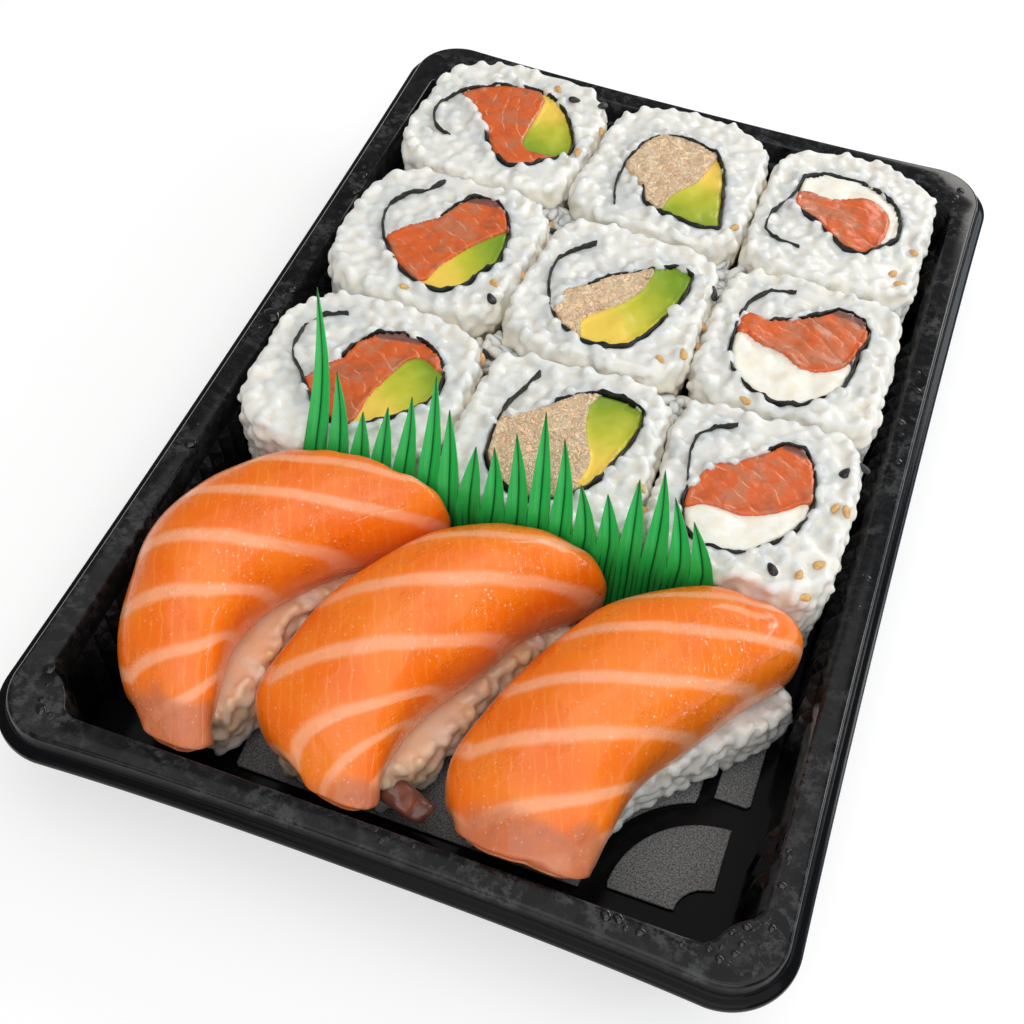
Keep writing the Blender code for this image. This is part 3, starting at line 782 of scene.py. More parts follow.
@dataclass(frozen=True)
class TunaFinish:
    """Cooked tuna in mayonnaise: pale peach shreds with brown shadows and specks."""

    flake: Colour = (1.0, 0.61, 0.34)
    cream: Colour = (1.0, 0.80, 0.54)
    brown: Colour = (0.82, 0.40, 0.18)

    def make(self) -> Material:
        """Cream on the shreds, brown painted shade in the hollows and grooves, with a few dark specks.

        Returns:
            The material.
        """
        f = Finisher("tuna")
        cloud = f.noise(3.2, 3.0, 0.6)
        shred = 1.0 - abs(f.noise(1.5, 2.0, 0.5, twist=1.6) - 0.5).rise(0.0, 0.10)
        groove = (1.0 - abs(f.noise(2.1, 2.0, 0.5, twist=1.2) - 0.5).rise(0.0, 0.035)) * (1.0 - shred)
        colour = f.mix((shred * 0.7 + cloud * 0.5).clip(), self.flake, self.cream)
        # Painted shade: brown in the low parts of the relief (mark "deep") and in the grooves.
        colour = f.mix((f.mark("deep") * 0.6 + groove * 0.55 - 0.44).clip(), colour, self.brown)
        speck = 1.0 - f.cells(2.3).rise(0.06, 0.14)
        colour = f.mix(speck * 0.8, colour, self.brown)
        relief = f.bump(shred - groove * 0.8, 0.28)
        return f.done(colour, 0.48, relief, (0.10, (1.0, 0.6, 0.4), 0.001), (0.1, 0.3))


@dataclass(frozen=True)
class AvocadoFinish:
    """Ripe avocado: butter yellow that turns to green towards the skin side."""

    yellow: Colour = (0.90, 0.63, 0.085)
    lime: Colour = (0.56, 0.55, 0.030)
    green: Colour = (0.20, 0.34, 0.008)

    def make(self) -> Material:
        """The mark "green" runs from 0, yellow, to 1, green.

        Returns:
            The material.
        """
        f = Finisher("avocado")
        cloud = f.noise(6.0, 2.0)
        green = (f.mark("green") + (cloud - 0.5) * 0.30).clip()
        colour = f.mix(green.rise(0.22, 0.52), self.yellow, self.lime)
        colour = f.mix(green.rise(0.45, 0.90), colour, self.green)
        smear = f.noise(1.6, 3.0)
        relief = f.bump(smear, 0.10)
        return f.done(colour, 0.30 + 0.16 * smear, relief, (0.10, (0.8, 0.8, 0.2), 0.001), (0.22, 0.22))


@dataclass(frozen=True)
class CheeseFinish:
    """Cream cheese: warm white, smooth, with smeared lumps."""

    ivory: Colour = (0.91, 0.85, 0.70)
    white: Colour = (0.95, 0.92, 0.84)

    def make(self) -> Material:
        """Ivory and white in soft smears.

        Returns:
            The material.
        """
        f = Finisher("cream_cheese")
        smear = f.noise(3.0, 3.0)
        relief = f.bump(smear, 0.22)
        colour = f.mix(smear.rise(0.35, 0.65), self.ivory, self.white)
        return f.done(colour, 0.42, relief, (0.2, (1.0, 0.9, 0.7), 0.001))


@dataclass(frozen=True)
class TrayFinish:
    """Glossy black formed plastic with a faint haze and matte, fine-grained floor panels."""

    black: Colour = (0.0040, 0.0042, 0.0050)
    dust_and_sheen: Colour = (0.045, 0.046, 0.048)
    panel: Colour = (0.265, 0.265, 0.260)
    panel_low: Colour = (0.065, 0.065, 0.066)

    def make(self) -> Material:
        """The mark "matte" is 1 on the panels; "flat" is 1 on the rim, which is hazed and wet, and 0.5 on the
        tooth tops, whose grey is painted highlight.

        Returns:
            The material.
        """
        f = Finisher("tray_black")
        matte, flat = f.mark("matte"), f.mark("flat")
        patch = f.noise(13.0, 3.0, 0.6, twist=0.3).rise(0.42, 0.62)
        haze = f.noise(2.2, 5.0, 0.75).rise(0.44, 0.60) * (0.15 + 0.85 * patch) * flat
        wet = f.noise(5.0, 3.0, 0.55, twist=0.4).rise(0.56, 0.61) * flat
        smear = f.noise(2.4, 3.0, 0.6, at=f.scaled((1.0, 0.4, 1.0), (0.0, 0.0, 25.0)))
        gloss = 0.12 + 0.22 * haze * (1.0 - wet) + 0.04 * smear
        rough = gloss * (1.0 - matte) + matte * 0.50
        # Grey of haze on the rim, and painted highlight on the tooth tops.
        colour = f.mix((0.06 * flat + 0.94 * haze) * (1.0 - wet), self.black, self.dust_and_sheen)
        grain = f.noise(0.34, 2.0, 0.7)
        relief = f.bump(grain * matte * 0.9 + smear * flat * 0.12 + wet * 0.10, 0.12)
        cover = f.mix(grain.rise(0.30, 0.72), self.panel_low, self.panel)
        return f.done(f.mix(matte, colour, cover), rough, relief, coat=(0.04 + 0.36 * flat ** 2.0, 0.10),
                      IOR=1.30, Specular_IOR_Level=0.18)


@dataclass(frozen=True)
class GrassFinish:
    """Green plastic film: bright faces with painted light towards the tips, and painted shade in the creases
    and at the roots.
    """

    face: Colour = (0.004, 0.33, 0.048)
    bright: Colour = (0.022, 0.54, 0.10)
    # crease: colour of the painted shade in the folds and at the roots.
    crease: Colour = (0.001, 0.060, 0.012)

    def make(self) -> Material:
        """The mark "crease" is 1 on the lines of painted shade, "height" rises to 1 at the tips, which are
        painted lighter.

        Returns:
            The material.
        """
        f = Finisher("grass_green")
        crease = f.mark("crease")
        height = f.mark("height")
        cloud = f.noise(4.0, 2.0)
        # Painted light: lighter towards the tips, with random cloud.
        colour = f.mix((height * 0.55 + cloud * 0.5 - 0.1).clip(), self.face, self.bright)
        # Painted shade along the creases and at the roots.
        colour = f.mix(crease.rise(0.35, 0.85) * 0.9, colour, self.crease)
        return f.done(colour, 0.30 + 0.12 * cloud, f.bump(1.0 - crease, 0.12),
                      (0.05, (0.3, 1.0, 0.3), 0.0005), IOR=1.45)


@dataclass(frozen=True)
class SeedFinish:
    """Sesame seed, black or toasted."""

    name: str
    body: Colour
    shade: Colour

    def make(self) -> Material:
        """A finely ribbed seed coat.

        Returns:
            The material.
        """
        f = Finisher(self.name)
        coat = f.noise(0.7, 3.0)
        return f.done(f.mix(coat.rise(0.3, 0.7), self.shade, self.body), 0.38, f.bump(coat, 0.08))


@dataclass(frozen=True)
class WaterFinish:
    """A drop of water on black plastic: dark, with a mirror-smooth skin."""

    under: Colour = (0.003, 0.003, 0.004)

    def make(self) -> Material:
        """Dark body under a clear, very smooth coat."""
        f = Finisher("water_drop")
        return f.done(self.under, 0.05 + 0.02 * f.noise(3.0), coat=(0.6, 0.02), IOR=1.33,
                      Specular_IOR_Level=0.45)


@dataclass(frozen=True)
class FloorFinish:
    """Plain white table."""

    white: Colour = (0.50, 0.50, 0.50)
    glow: float = 0.55

    def make(self) -> Material:
        """Even matte white, lit from within like a light table so that shadows stay faint."""
        return Finisher("table_white").done(self.white, 0.9, Specular_IOR_Level=0.1,
                                            Emission_Color=(1.0, 1.0, 1.0), Emission_Strength=self.glow)


# ---- tray
@dataclass
class Tray:
    """Formed black tray: flanged rim, corner bosses, toothed walls and a panelled floor."""

    finish: Material
    corner: int = 22
    rim_half: tuple[float, float] = (70.6, 105.9)
    rim_turn: float = 10.5
    rim_bow: tuple[float, float] = (0.8, 1.4)
    mouth_half: tuple[float, float] = (65.2, 99.7)
    boss_centre: tuple[float, float] = (68.3, 101.8)
    boss_radius: float = 10.0
    boss_blend: float = 1.4
    rings: tuple[tuple[str, float, float], ...] = (
        ("mouth", -1.6, 0.0), ("mouth", 0.2, 19.4), ("mouth", 0.9, 23.4), ("rim", -1.2, 23.9),
        ("rim", -0.6, 21.6), ("rim", 1.3, 21.2), ("rim", 1.7, 20.4), ("rim", 2.5, 20.4),
        ("rim", 2.4, 21.7), ("rim", 1.4, 22.1), ("rim", 0.5, 22.4), ("rim", 0.0, 24.6),
        ("rim", -0.5, 25.0), ("mouth", 0.3, 24.5), ("mouth", 0.0, 24.2), ("mouth", -0.8, 19.6),
    )
    pitch: float = 4.3
    depth: float = 1.7
    tooth_top: float = 19.35
    tooth_fall: float = 0.9
    draft: float = 1.0
    bow_power: float = 2.6
    tooth_flat: float = 0.94
    tooth_band: tuple[float, float] = (17.8, 20.0)
    rim_band: tuple[float, float] = (22.8, 24.2)
    wall_inset: float = 0.95
    foot_inset: float = 0.8
    edge_round: float = 0.28
    floor_z: float = 1.2
    panel_z: float = 2.0
    long_ribs: tuple[tuple[float, int], ...] = ((6.5, 11), (74.5, 3))
    short_ribs: tuple[tuple[float, int], ...] = ((0.0, 6), (41.0, 3))
    flute: tuple[float, ...] = (-1.0, -0.82, -0.5, -0.18, -0.06, 0.06, 0.18, 0.5, 0.82, 1.0)
    plain_step: float = 3.0
    field_half: tuple[float, float] = (49.7, 88.4)
    field_bite: float = 23.2
    fan_centre: tuple[float, float] = (57.3, 86.6)
    fan_radii: tuple[float, float] = (19.0, 6.0)
    long_strip: tuple[float, float, float] = (3.6, 62.5, 55.8)
    short_strip: tuple[float, float, float] = (36.0, 2.1, 92.5)
    panel_step: float = 1.6
    panel_rings: tuple[tuple[float, float, float], ...] = (
        (0.05, 0.3, 0.0), (0.18, 0.06, 0.5), (0.42, 0.0, 1.0))

    def quarter(self, kind: str, offset: float) -> Array:
        """One corner of a ring, from its X side to its Y side: an arc out or a boss in.

        Args:
            kind: "rim" or "mouth".
            offset: Distance outwards from that outline.

        Returns:
            Corner points, shape (corner, 2).
        """
        if kind == "rim":
            centre = np.array(self.rim_half) - self.rim_turn
            return arc_points(centre, self.rim_turn + offset, 0.0, pi / 2, self.corner)
        side_x, side_y = self.mouth_half[0] + offset, self.mouth_half[1] + offset
        radius = self.boss_radius - offset
        cx, cy = self.boss_centre
        meet_y = cy - sqrt(radius ** 2 - (cx - side_x) ** 2)
        meet_x = cx - sqrt(radius ** 2 - (cy - side_y) ** 2)
        soft = self.boss_blend / radius
        start, end = atan2(meet_y - cy, side_x - cx) - soft, atan2(side_y - cy, meet_x - cx) + soft
        arc = arc_points(self.boss_centre, radius, start, end, self.corner - 2)
        return np.vstack(((side_x, meet_y - self.boss_blend), arc, (meet_x - self.boss_blend, side_y)))

    def stops(self, groups: Sequence[tuple[float, int]], reach: float) -> tuple[Array, Array]:
        """Stops along one wall and how far the teeth stand out there.

        Args:
            groups: First rib from the middle and number of ribs, for each group.
            reach: Half the straight length of the wall.

        Returns:
            Places from -reach to reach, and shares of the tooth depth.
        """
        half = 0.5 * self.pitch
        middles = np.array(sorted({s * (first + k * self.pitch) for first, n in groups for k in range(n)
                                   for s in (1, -1)}))
        teeth = (middles[:, None] + np.array(self.flute) * half).ravel()
        plain = np.arange(-reach + 1.5, reach - 1.0, self.plain_step)
        plain = plain[np.abs(plain[:, None] - middles).min(axis=1) > half + 0.3]
        places = np.unique(np.round(np.concatenate((teeth, plain)), 3))
        places = places[np.abs(places) < reach - 0.4]
        gap = np.abs(places[:, None] - middles).min(axis=1)
        share = np.clip(1.0 - gap / half, 0.0, self.tooth_flat)
        return places, share

    def ring(self, kind: str, offset: float, depth: float = 0.0) -> tuple[Array, Array]:
        """One closed outline, always with the same number of points.

        Args:
            kind: "rim" or "mouth".
            offset: Distance outwards from that outline.
            depth: How far the teeth stand in from the wall.

        Returns:
            Points anticlockwise from the +X +Y corner, and the tooth share at each.
        """
        base = self.quarter(kind, offset)
        plan = self.quarter("mouth", -self.wall_inset)
        parts, shares = [], []
        for k, corner in enumerate(four_corners(base)):
            short = k % 2 == 0
            reach = plan[-1, 0] if short else plan[0, 1]
            here = base[-1, 0] if short else base[0, 1]
            wall = base[-1, 1] if short else base[0, 0]
            places, share = self.stops(self.short_ribs if short else self.long_ribs, reach)
            bow = self.rim_bow[1 if short else 0] if kind == "rim" else 0.0
            across = wall - bow * (1.0 - np.abs(places / reach) ** self.bow_power) - depth * share
            order = slice(None, None, -1) if k in (0, 1) else slice(None)
            along = (places * here / reach)[order]
            across, share = across[order], share[order]
            side = 1.0 if k in (0, 3) else -1.0
            line = np.column_stack((along, side * across) if short else (side * across, along))
            parts += [corner, line]
            shares += [np.zeros(len(corner)), share]
        return np.vstack(parts), np.concatenate(shares)

    def panel_outlines(self) -> list[Array]:
        """Plan outlines of the raised floor panels: field, corner fans and narrow strips.

        Returns:
            Anticlockwise outlines; the field has a round bite at each corner.
        """
        cx, cy = self.fan_centre
        field_x, field_y = self.field_half
        bite, (fan_out, fan_in) = self.field_bite, self.fan_radii
        arc = arc_points(self.fan_centre, bite, -pi / 2, -pi, 40)
        arc = arc[(arc[:, 0] < field_x - 0.5) & (arc[:, 1] < field_y - 0.5)]
        start = (field_x, cy - sqrt(bite ** 2 - (cx - field_x) ** 2))
        quarter = np.vstack((start, arc, (cx - bite, field_y)))
        fan = np.vstack((arc_points(self.fan_centre, fan_out, -pi / 2, -pi, 24),
                         arc_points(self.fan_centre, fan_in, -pi, -pi / 2, 10)))
        shapes = [np.vstack(four_corners(quarter))]
        shapes += [fan * (sx, sy) for sx in (1, -1) for sy in (1, -1)]
        box = np.array(((-1.0, -1.0), (1.0, -1.0), (1.0, 1.0), (-1.0, 1.0)))
        for s in (1, -1):
            shapes.append(box * self.long_strip[:2] + (s * self.long_strip[2], 0.0))
            shapes.append(box * self.short_strip[:2] + (0.0, s * self.short_strip[2]))
        return [resample(o if signed_area(o) > 0 else o[::-1], self.panel_step) for o in shapes]

    def skin(self) -> Array:
        """Rings of the rim and walls, from under the floor over the rim to the inner floor's edge.

        Returns:
            Points, shape (rings, points, 3).
        """
        stack = []
        for kind, offset, z in self.rings:
            plan = self.ring(kind, offset)[0]
            stack.append(np.column_stack((plan, np.full(len(plan), z))))
        for inset, fall, z in ((self.wall_inset, self.tooth_fall, self.tooth_top),
                               (self.foot_inset + self.draft, 0.0, self.floor_z)):
            plan, share = self.ring("mouth", -inset, self.depth)
            stack.append(np.column_stack((plan, z - fall * share)))
        return round_rings(np.array(stack), self.edge_round, 3)

    def build(self) -> Piece:
        """Make the tray as one closed skin.

        Returns:
            The piece.
        """
        mesh = Mesh()
        skin = self.skin()
        rows, columns = skin.shape[:2]
        x, y, z = np.abs(skin.reshape(-1, 3)).T
        low, high = self.tooth_band
        tooth = (x < self.mouth_half[0] - 1.0) & (y < self.mouth_half[1] - 1.0) & (z > low) & (z < high)
        # Tooth tops get half the rim's mark, so their grey is painted highlight.
        level = np.maximum(smoothstep(z, *self.rim_band), 0.5 * tooth)
        mesh.add(skin.reshape(-1, 3), grid_faces(rows, columns, round_columns=True), matte=0.0, flat=level)
        last = (rows - 1) * columns
        mesh.faces.append(fill_flat([skin[0][:, :2]], False))
        floor_at = [np.arange(last, last + columns)]
        floor_plan = [skin[-1][:, :2]]
        heights = [(0.0, self.floor_z, 0.0)]
        heights += [(inset, self.panel_z - below, matte) for inset, below, matte in self.panel_rings]
        for outline in self.panel_outlines():
            out = outward(outline)
            n = len(outline)
            rings = [np.column_stack((outline - inset * out, np.full(n, z))) for inset, z, _ in heights]
            matte = np.repeat([share for *_, share in heights], n)
            faces = grid_faces(len(rings), n, round_columns=True)
            first = mesh.add(np.vstack(rings), faces, matte=matte, flat=0.0)
            mesh.faces.append(fill_flat([rings[-1][:, :2]], True) + first + (len(rings) - 1) * n)
            floor_at.append(np.arange(first, first + n))
            floor_plan.append(outline)
        mesh.faces.append(np.concatenate(floor_at)[fill_flat(floor_plan, True)])
        return mesh.make("tray_look", self.finish, "tray_black", ("tray",), crease=34.0)


# ---- grass
@dataclass
class Grass:
    """Pleated green plastic sheet whose upper edge is cut into pointed blades."""

    finish: Material
    columns: int = 16
    rows: int = 34
    thick: float = 0.45
    foot: tuple[float, float] = (-37.0, 2.3)
    bend: float = 27.0
    lean: float = 42.0
    ease: float = 8.0
    valley: float = 30.0
    ends: tuple[float, float] = (-41.0, 40.5)
    tips: tuple[float, ...] = (
        61.5, 47.5, 41.5, 43.5, 47, 52, 46.5, 41.5, 42, 46, 51.5, 47.5, 40.5, 40, 44.5, 47.5, 43, 40)
    leans: tuple[float, ...] = (
        -7.4, -4.1, -1.5, -2.0, -2.3, -3.1, -3.6, -1.4, -3.1, -3.5, -4.2, -4.3, -3.4, -2.5, -2.1, -2.9,
        -4.2, -3.9)
    hollow: float = 0.60
    pleat: float = 1.0
    sway: float = 0.9
    line_width: float = 0.12

    def stand(self, height: Array) -> tuple[Array, Array, Array]:
        """Where the sheet stands, y and z, and its lean: straight, then bent back over a short ease.

        Args:
            height: Heights measured along the sheet.

        Returns:
            y, z and lean in radians.
        """
        line = np.linspace(0.0, 70.0, 400)
        lean = radians(self.lean) * smoothstep(line, self.bend - 1.0, self.bend + self.ease + 1.0)
        step = line[1]
        y = self.foot[0] + np.cumsum(np.sin(lean)) * step
        z = self.foot[1] + np.cumsum(np.cos(lean)) * step - step
        return np.interp(height, line, y), np.interp(height, line, z), np.interp(height, line, lean)

    def build(self) -> Piece:
        """Make the sheet as a closed skin.

        Each blade rises with a slightly hollow outline: valley + (tip - valley) (1 - |u|)^hollow,
        where u runs from -1 to 1 across it.

        Returns:
            The piece.
        """
        blades = len(self.tips)
        count = blades * self.columns + 1
        c = np.arange(count)
        u = 2.0 * (c % self.columns) / self.columns - 1.0
        blade = np.minimum(c // self.columns, blades - 1)
        tip = np.array(self.tips, float)[blade]
        reach = self.valley + (tip - self.valley) * (1.0 - np.abs(u)) ** self.hollow
        height = (np.linspace(0.0, 1.0, self.rows) ** 0.85)[:, None] * reach
        width = (self.ends[1] - self.ends[0]) / blades
        up = np.clip((height - self.valley) / (tip - self.valley), 0.0, None)
        x = self.ends[0] + c / self.columns * width + np.array(self.leans)[blade] * up ** 1.5
        x = x + 0.25 * np.sin(height / 6.0 + 1.7 * blade) * smoothstep(height, 5, 30)
        y, z, lean = self.stand(height)
        push = self.pleat * (0.5 - np.abs(u)) * (1.0 - 0.35 * up) + self.sway * up * np.sin(2.4 * blade + 1.0)
        y, z = y + push * np.cos(lean), z - push * np.sin(lean)
        half = 0.5 * self.thick
        front = np.stack((x, y - half * np.cos(lean), z + half * np.sin(lean)), axis=-1)
        back = np.stack((x, y + half * np.cos(lean), z - half * np.sin(lean)), axis=-1)
        # crease: painted shade along the middle and side folds, stronger towards the roots.
        root = 1.0 - smoothstep(height, self.valley - 6.0, self.valley + 2.0)
        side_fold = np.exp(-((np.abs(u) - 0.5) / 0.11) ** 2)
        crease = (np.exp(-(np.abs(u) / self.line_width) ** 2) + (0.35 + 0.5 * root) * side_fold
                  + 0.9 * root * np.exp(-((1.0 - np.abs(u)) / self.line_width) ** 2))
        loop, crease, level = (np.concatenate((values, other[::-1])) for values, other in (
            (front, back), (crease, crease), (height, height)))
        mesh = Mesh()
        mesh.add(loop.reshape(-1, 3), grid_faces(2 * self.rows, count, round_rows=True),
                 crease=crease.ravel(), height=level.ravel() / 50.0)
        r = np.arange(self.rows - 1)
        far = 2 * self.rows - 1 - r
        first = np.stack((r * count, (r + 1) * count, (far - 1) * count, far * count), axis=-1)
        mesh.faces += [first, (first + count - 1)[:, ::-1]]
        return mesh.make("grass_look", self.finish, "grass_green", ("grass_divider",), crease=40.0)


# ---- soft solids
def skin_of(piece: Piece) -> tuple[Array, Array, Array]:
    """Skin of an all-quad piece with its modifiers.

    Args:
        piece: The object.

    Returns:
        Vertices in millimetres, faces and outward vertex normals.
    """
    seen = piece.evaluated_get(bpy.context.evaluated_depsgraph_get())
    mesh = seen.to_mesh()
    co = column(mesh.vertices, "co", 3) / MM
    way = column(mesh.vertex_normals, "vector", 3)
    corners = column(mesh.loops, "vertex_index", 1, int).reshape(-1, 4)
    seen.to_mesh_clear()
    return co, corners, way


def remesh(verts: Array, faces: Sequence[Sequence[int]], voxel: float) -> tuple[Array, Array, Array]:
    """Even quads over a closed shape, with rounded edges, from a grid of small cubes.

    Args:
        verts: Vertices in millimetres.
        faces: Faces of the closed shape.
        voxel: Size of the cubes in millimetres.

    Returns:
        Vertices, quads and outward normals.
    """
    mesh = bpy.data.meshes.new("draft")
    rows = [tuple(int(i) for i in face) for face in faces]
    mesh.from_pydata((np.asarray(verts) * MM).tolist(), [], rows)
    draft = bpy.data.objects.new("draft", mesh)
    bpy.context.scene.collection.objects.link(draft)
    even = draft.modifiers.new("even", "REMESH")
    even.mode = "VOXEL"
    even.voxel_size = voxel * MM
    result = skin_of(draft)
    bpy.data.objects.remove(draft)
    bpy.data.meshes.remove(mesh)
    return result


def thin_out(points: Array, gap: float, rng: np.random.Generator) -> Array:
    """Numbers of points that lie at least about a gap apart, taken in random order.

    Args:
        points: Positions, shape (n, 3).
        gap: Least distance.
        rng: Source of the order.

    Returns:
        Numbers of the kept points.
    """
    order = rng.permutation(len(points))
    cells: dict[tuple[int, int, int], list[int]] = {}
    kept = []
    for i in order:
        key = tuple(int(v) for v in np.floor(points[i] / gap))
        near = [j for dx in (-1, 0, 1) for dy in (-1, 0, 1) for dz in (-1, 0, 1)
                for j in cells.get((key[0] + dx, key[1] + dy, key[2] + dz), ())]
        if near and np.min(np.sum((points[near] - points[i]) ** 2, axis=1)) < gap * gap:
            continue
        cells.setdefault(key, []).append(int(i))
        kept.append(int(i))
    return np.array(kept, int)


@dataclass(frozen=True)
class Grain:
    """A cooked grain of rice: a blunt spindle, slightly bent."""

    columns: int = 6
    waists: tuple[float, ...] = (-0.86, -0.45, 0.0, 0.45, 0.86)

    def shape(self) -> tuple[Array, Array, Array]:
        """Unit grain along X: radius (1 - t^2)^0.42 at each waist, poles at the ends.

        Returns:
            Vertices with length 2 and width 2, quads, and triangles at the ends.
        """
        t = np.array(self.waists)
        a = 2 * pi * np.arange(self.columns) / self.columns
        radius = (1.0 - t ** 2) ** 0.42
        rings = np.stack((np.broadcast_to(t[:, None], (len(t), self.columns)),
                          radius[:, None] * np.cos(a), radius[:, None] * np.sin(a)), axis=-1).reshape(-1, 3)
        n = len(rings)
        verts = np.vstack((rings, (-1.0, 0.0, 0.0), (1.0, 0.0, 0.0)))
        quads = grid_faces(len(t), self.columns, round_columns=True, flip=True)
        c = np.arange(self.columns)
        d = (c + 1) % self.columns
        last = n - self.columns
        start = np.column_stack((c, d, np.full(self.columns, n)))
        end = np.column_stack((last + d, last + c, np.full(self.columns, n + 1)))
        return verts, quads, np.vstack((start, end))


def scatter(mesh: Mesh, at: Array, normal: Array, size: Array, rng: np.random.Generator,
            tilt: float = 0.25, **marks: Array) -> None:
    """Lay grains on a surface.

    Args:
        mesh: Where the grains are added.
        at: Middles of the grains, shape (n, 3).
        normal: Surface normal at each.
        size: Half length, half width and half height of each grain, shape (n, 3).
        rng: Source of the directions.
        tilt: How far grains stick out of the surface, as a share.
        marks: Named values, one for each grain.
    """
    verts, quads, ends = Grain().shape()
    n = len(at)
    free = rng.normal(size=(n, 3))
    flat = free - np.sum(free * normal, axis=1, keepdims=True) * normal
    flat /= np.maximum(np.linalg.norm(flat, axis=1, keepdims=True), 1e-6)
    long = flat + normal * rng.uniform(-tilt, tilt, (n, 1))
    long /= np.linalg.norm(long, axis=1, keepdims=True)
    wide = np.cross(normal, long)
    wide /= np.maximum(np.linalg.norm(wide, axis=1, keepdims=True), 1e-6)
    high = np.cross(long, wide)
    bend = rng.uniform(-0.25, 0.25, (n, 1)) * verts[None, :, 0] ** 2
    local = verts[None] * size[:, None, :]
    local[..., 1] += bend * size[:, 1:2]
    points = (at[:, None] + local[..., :1] * long[:, None] + local[..., 1:2] * wide[:, None]
              + local[..., 2:3] * high[:, None])
    shift = np.arange(n)[:, None, None] * len(verts)
    repeated = {name: np.repeat(values, len(verts)) for name, values in marks.items()}
    first = mesh.add(points.reshape(-1, 3), (quads[None] + shift).reshape(-1, 4), **repeated)
    mesh.faces.append((ends[None] + shift).reshape(-1, 3) + first)


def closest(points: Array, centres: Array) -> Array:
    """Number of the closest centre for each point: the least |c|^2 - 2 p.c.

    Args:
        points: Positions, shape (n, 3).
        centres: Positions, shape (m, 3).

    Returns:
        Numbers of centres, shape (n,).
    """
    own = np.sum(centres ** 2, axis=1)
    blocks = np.array_split(points, 1 + len(points) // 20000)
    return np.concatenate([np.argmin(own - 2.0 * block @ centres.T, axis=1) for block in blocks])


def soften(verts: Array, faces: Array, rounds: int, weight: float) -> Array:
    """Move each vertex of a quad skin towards the mean of its neighbours.

    Args:
        verts: Vertices, shape (n, 3).
        faces: Quads.
        rounds: How often it is done.
        weight: Share of the way to the mean.

    Returns:
        The softened vertices.
    """
    a, b = faces.ravel(), np.roll(faces, -1, axis=1).ravel()
    count = np.bincount(a, minlength=len(verts)) + np.bincount(b, minlength=len(verts))
    n = len(verts)
    for _ in range(rounds):
        total = np.column_stack([np.bincount(a, verts[b, k], n) + np.bincount(b, verts[a, k], n)
                                 for k in range(3)])
        verts = verts + weight * (total / np.maximum(count, 1)[:, None] - verts)
    return verts


@dataclass
class RiceHeap(ABC):
    """Pressed rice: a core inside the CAD outline and the grains on it, pressed into one skin."""

    node: str
    finish: Material
    seed: int
    peach: float = 0.0
    proud: float = 0.0
    voxel: float = 0.9
    fine: float = 0.56
    pitch: float = 2.35
    core_inset: float = 0.55
    waves: tuple[tuple[float, float, int, int], ...] = ((0.28, 6.5, 0, 1), (0.16, 2.6, 40, 2))
    grain_low: Point = (1.5, 1.1, 1.0)
    grain_high: Point = (2.25, 1.4, 1.25)
    lift_range: tuple[float, float] = (-0.75, -0.25)
    top_share: float = 0.85
    pressed: tuple[int, float] = (2, 0.35)
    sunk: tuple[int, float] = (9, 0.6)

    @abstractmethod
    def shown(self, verts: Array, normal: Array) -> Array:
        """Truth values: which vertices of the core can be seen and get grains."""

    @abstractmethod
    def swell(self, verts: Array, normal: Array) -> Array:
        """How far the core stands out at each vertex."""

    @abstractmethod
    def depth(self, verts: Array, normal: Array) -> Array:
        """How warm and shaded each vertex is, from 0 to 1."""

    @abstractmethod
    def clear(self, verts: Array) -> Array:
        """How glassy each vertex is, from 0 to 1."""

    def grains(self, draft: Mesh, verts: Array, normal: Array, raised: Sequence[Array],
               rng: np.random.Generator) -> Array:
        """Lay grains over the part of the core that can be seen, fewer of them on flat tops.

        Args:
            draft: Where the grains are added.
            verts: Vertices of the core's skin.
            normal: Its outward normals.
            raised: How far the core stands out at each vertex, in one or more parts.
            rng: Source of places, sizes and directions.

        Returns:
            Middles of the grains.
        """
        open_to_view = np.flatnonzero(self.shown(verts, normal))
        picks = open_to_view[thin_out(verts[open_to_view], self.pitch, rng)]
        flat = normal[picks, 2] > 0.8
        picks = picks[~flat | (rng.uniform(size=len(picks)) < self.top_share)]
        n = len(picks)
        size = np.column_stack([rng.uniform(*pair, n) for pair in zip(self.grain_low, self.grain_high)])
        level = normal[picks, 2].clip(0.0, 1.0)
        lift = rng.uniform(*self.lift_range, n) - 0.35 * level
        for part in raised:
            lift = lift + part[picks]
        middles = verts[picks] + normal[picks] * (lift + self.proud)[:, None]
        scatter(draft, middles, normal[picks], size, rng)
        return middles

    def build(self) -> Piece:
        """Make the skin that replaces the CAD node.

        Returns:
            The piece.
        """
        rng = np.random.default_rng(self.seed)
        verts, faces, normal = remesh(*cad_skin(self.node), self.voxel)
        relief = sum(height * lumps(verts, cell, self.seed + shift, octaves)
                     for height, cell, shift, octaves in self.waves)
        out = self.swell(verts, normal)
        draft = Mesh()
        draft.add(verts + normal * (relief + out - self.core_inset)[:, None], faces)
        middles = self.grains(draft, verts, normal, (relief, out), rng)
        rows = [row for block in draft.faces for row in block.tolist()]
        skin, quads, way = remesh(np.vstack(draft.verts), rows, self.fine)
        skin = soften(skin, quads, *self.pressed)
        # sunk: how far the skin lies below its smoothed self; these crevices get painted shade through the
        # mark "deep".
        sunk = np.sum((soften(skin, quads, *self.sunk) - skin) * way, axis=1).clip(0.0, 1.0)
        own = rng.uniform(0.0, 1.0, len(middles))[closest(skin, middles)]
        mesh = Mesh()
        mesh.add(skin, quads,
                 tone=np.clip(0.60 * own ** 2 + self.clear(skin) * (0.30 + 0.5 * own), 0.0, 1.0),
                 deep=np.clip(self.depth(skin, way) + 1.8 * sunk, 0.0, 1.0),
                 peach=self.peach * smoothstep(skin[:, 2], 2.0, 12.0) * (0.65 + 0.5 * own))
        return mesh.make(f"{self.node}_look", self.finish, "rice", (self.node,))


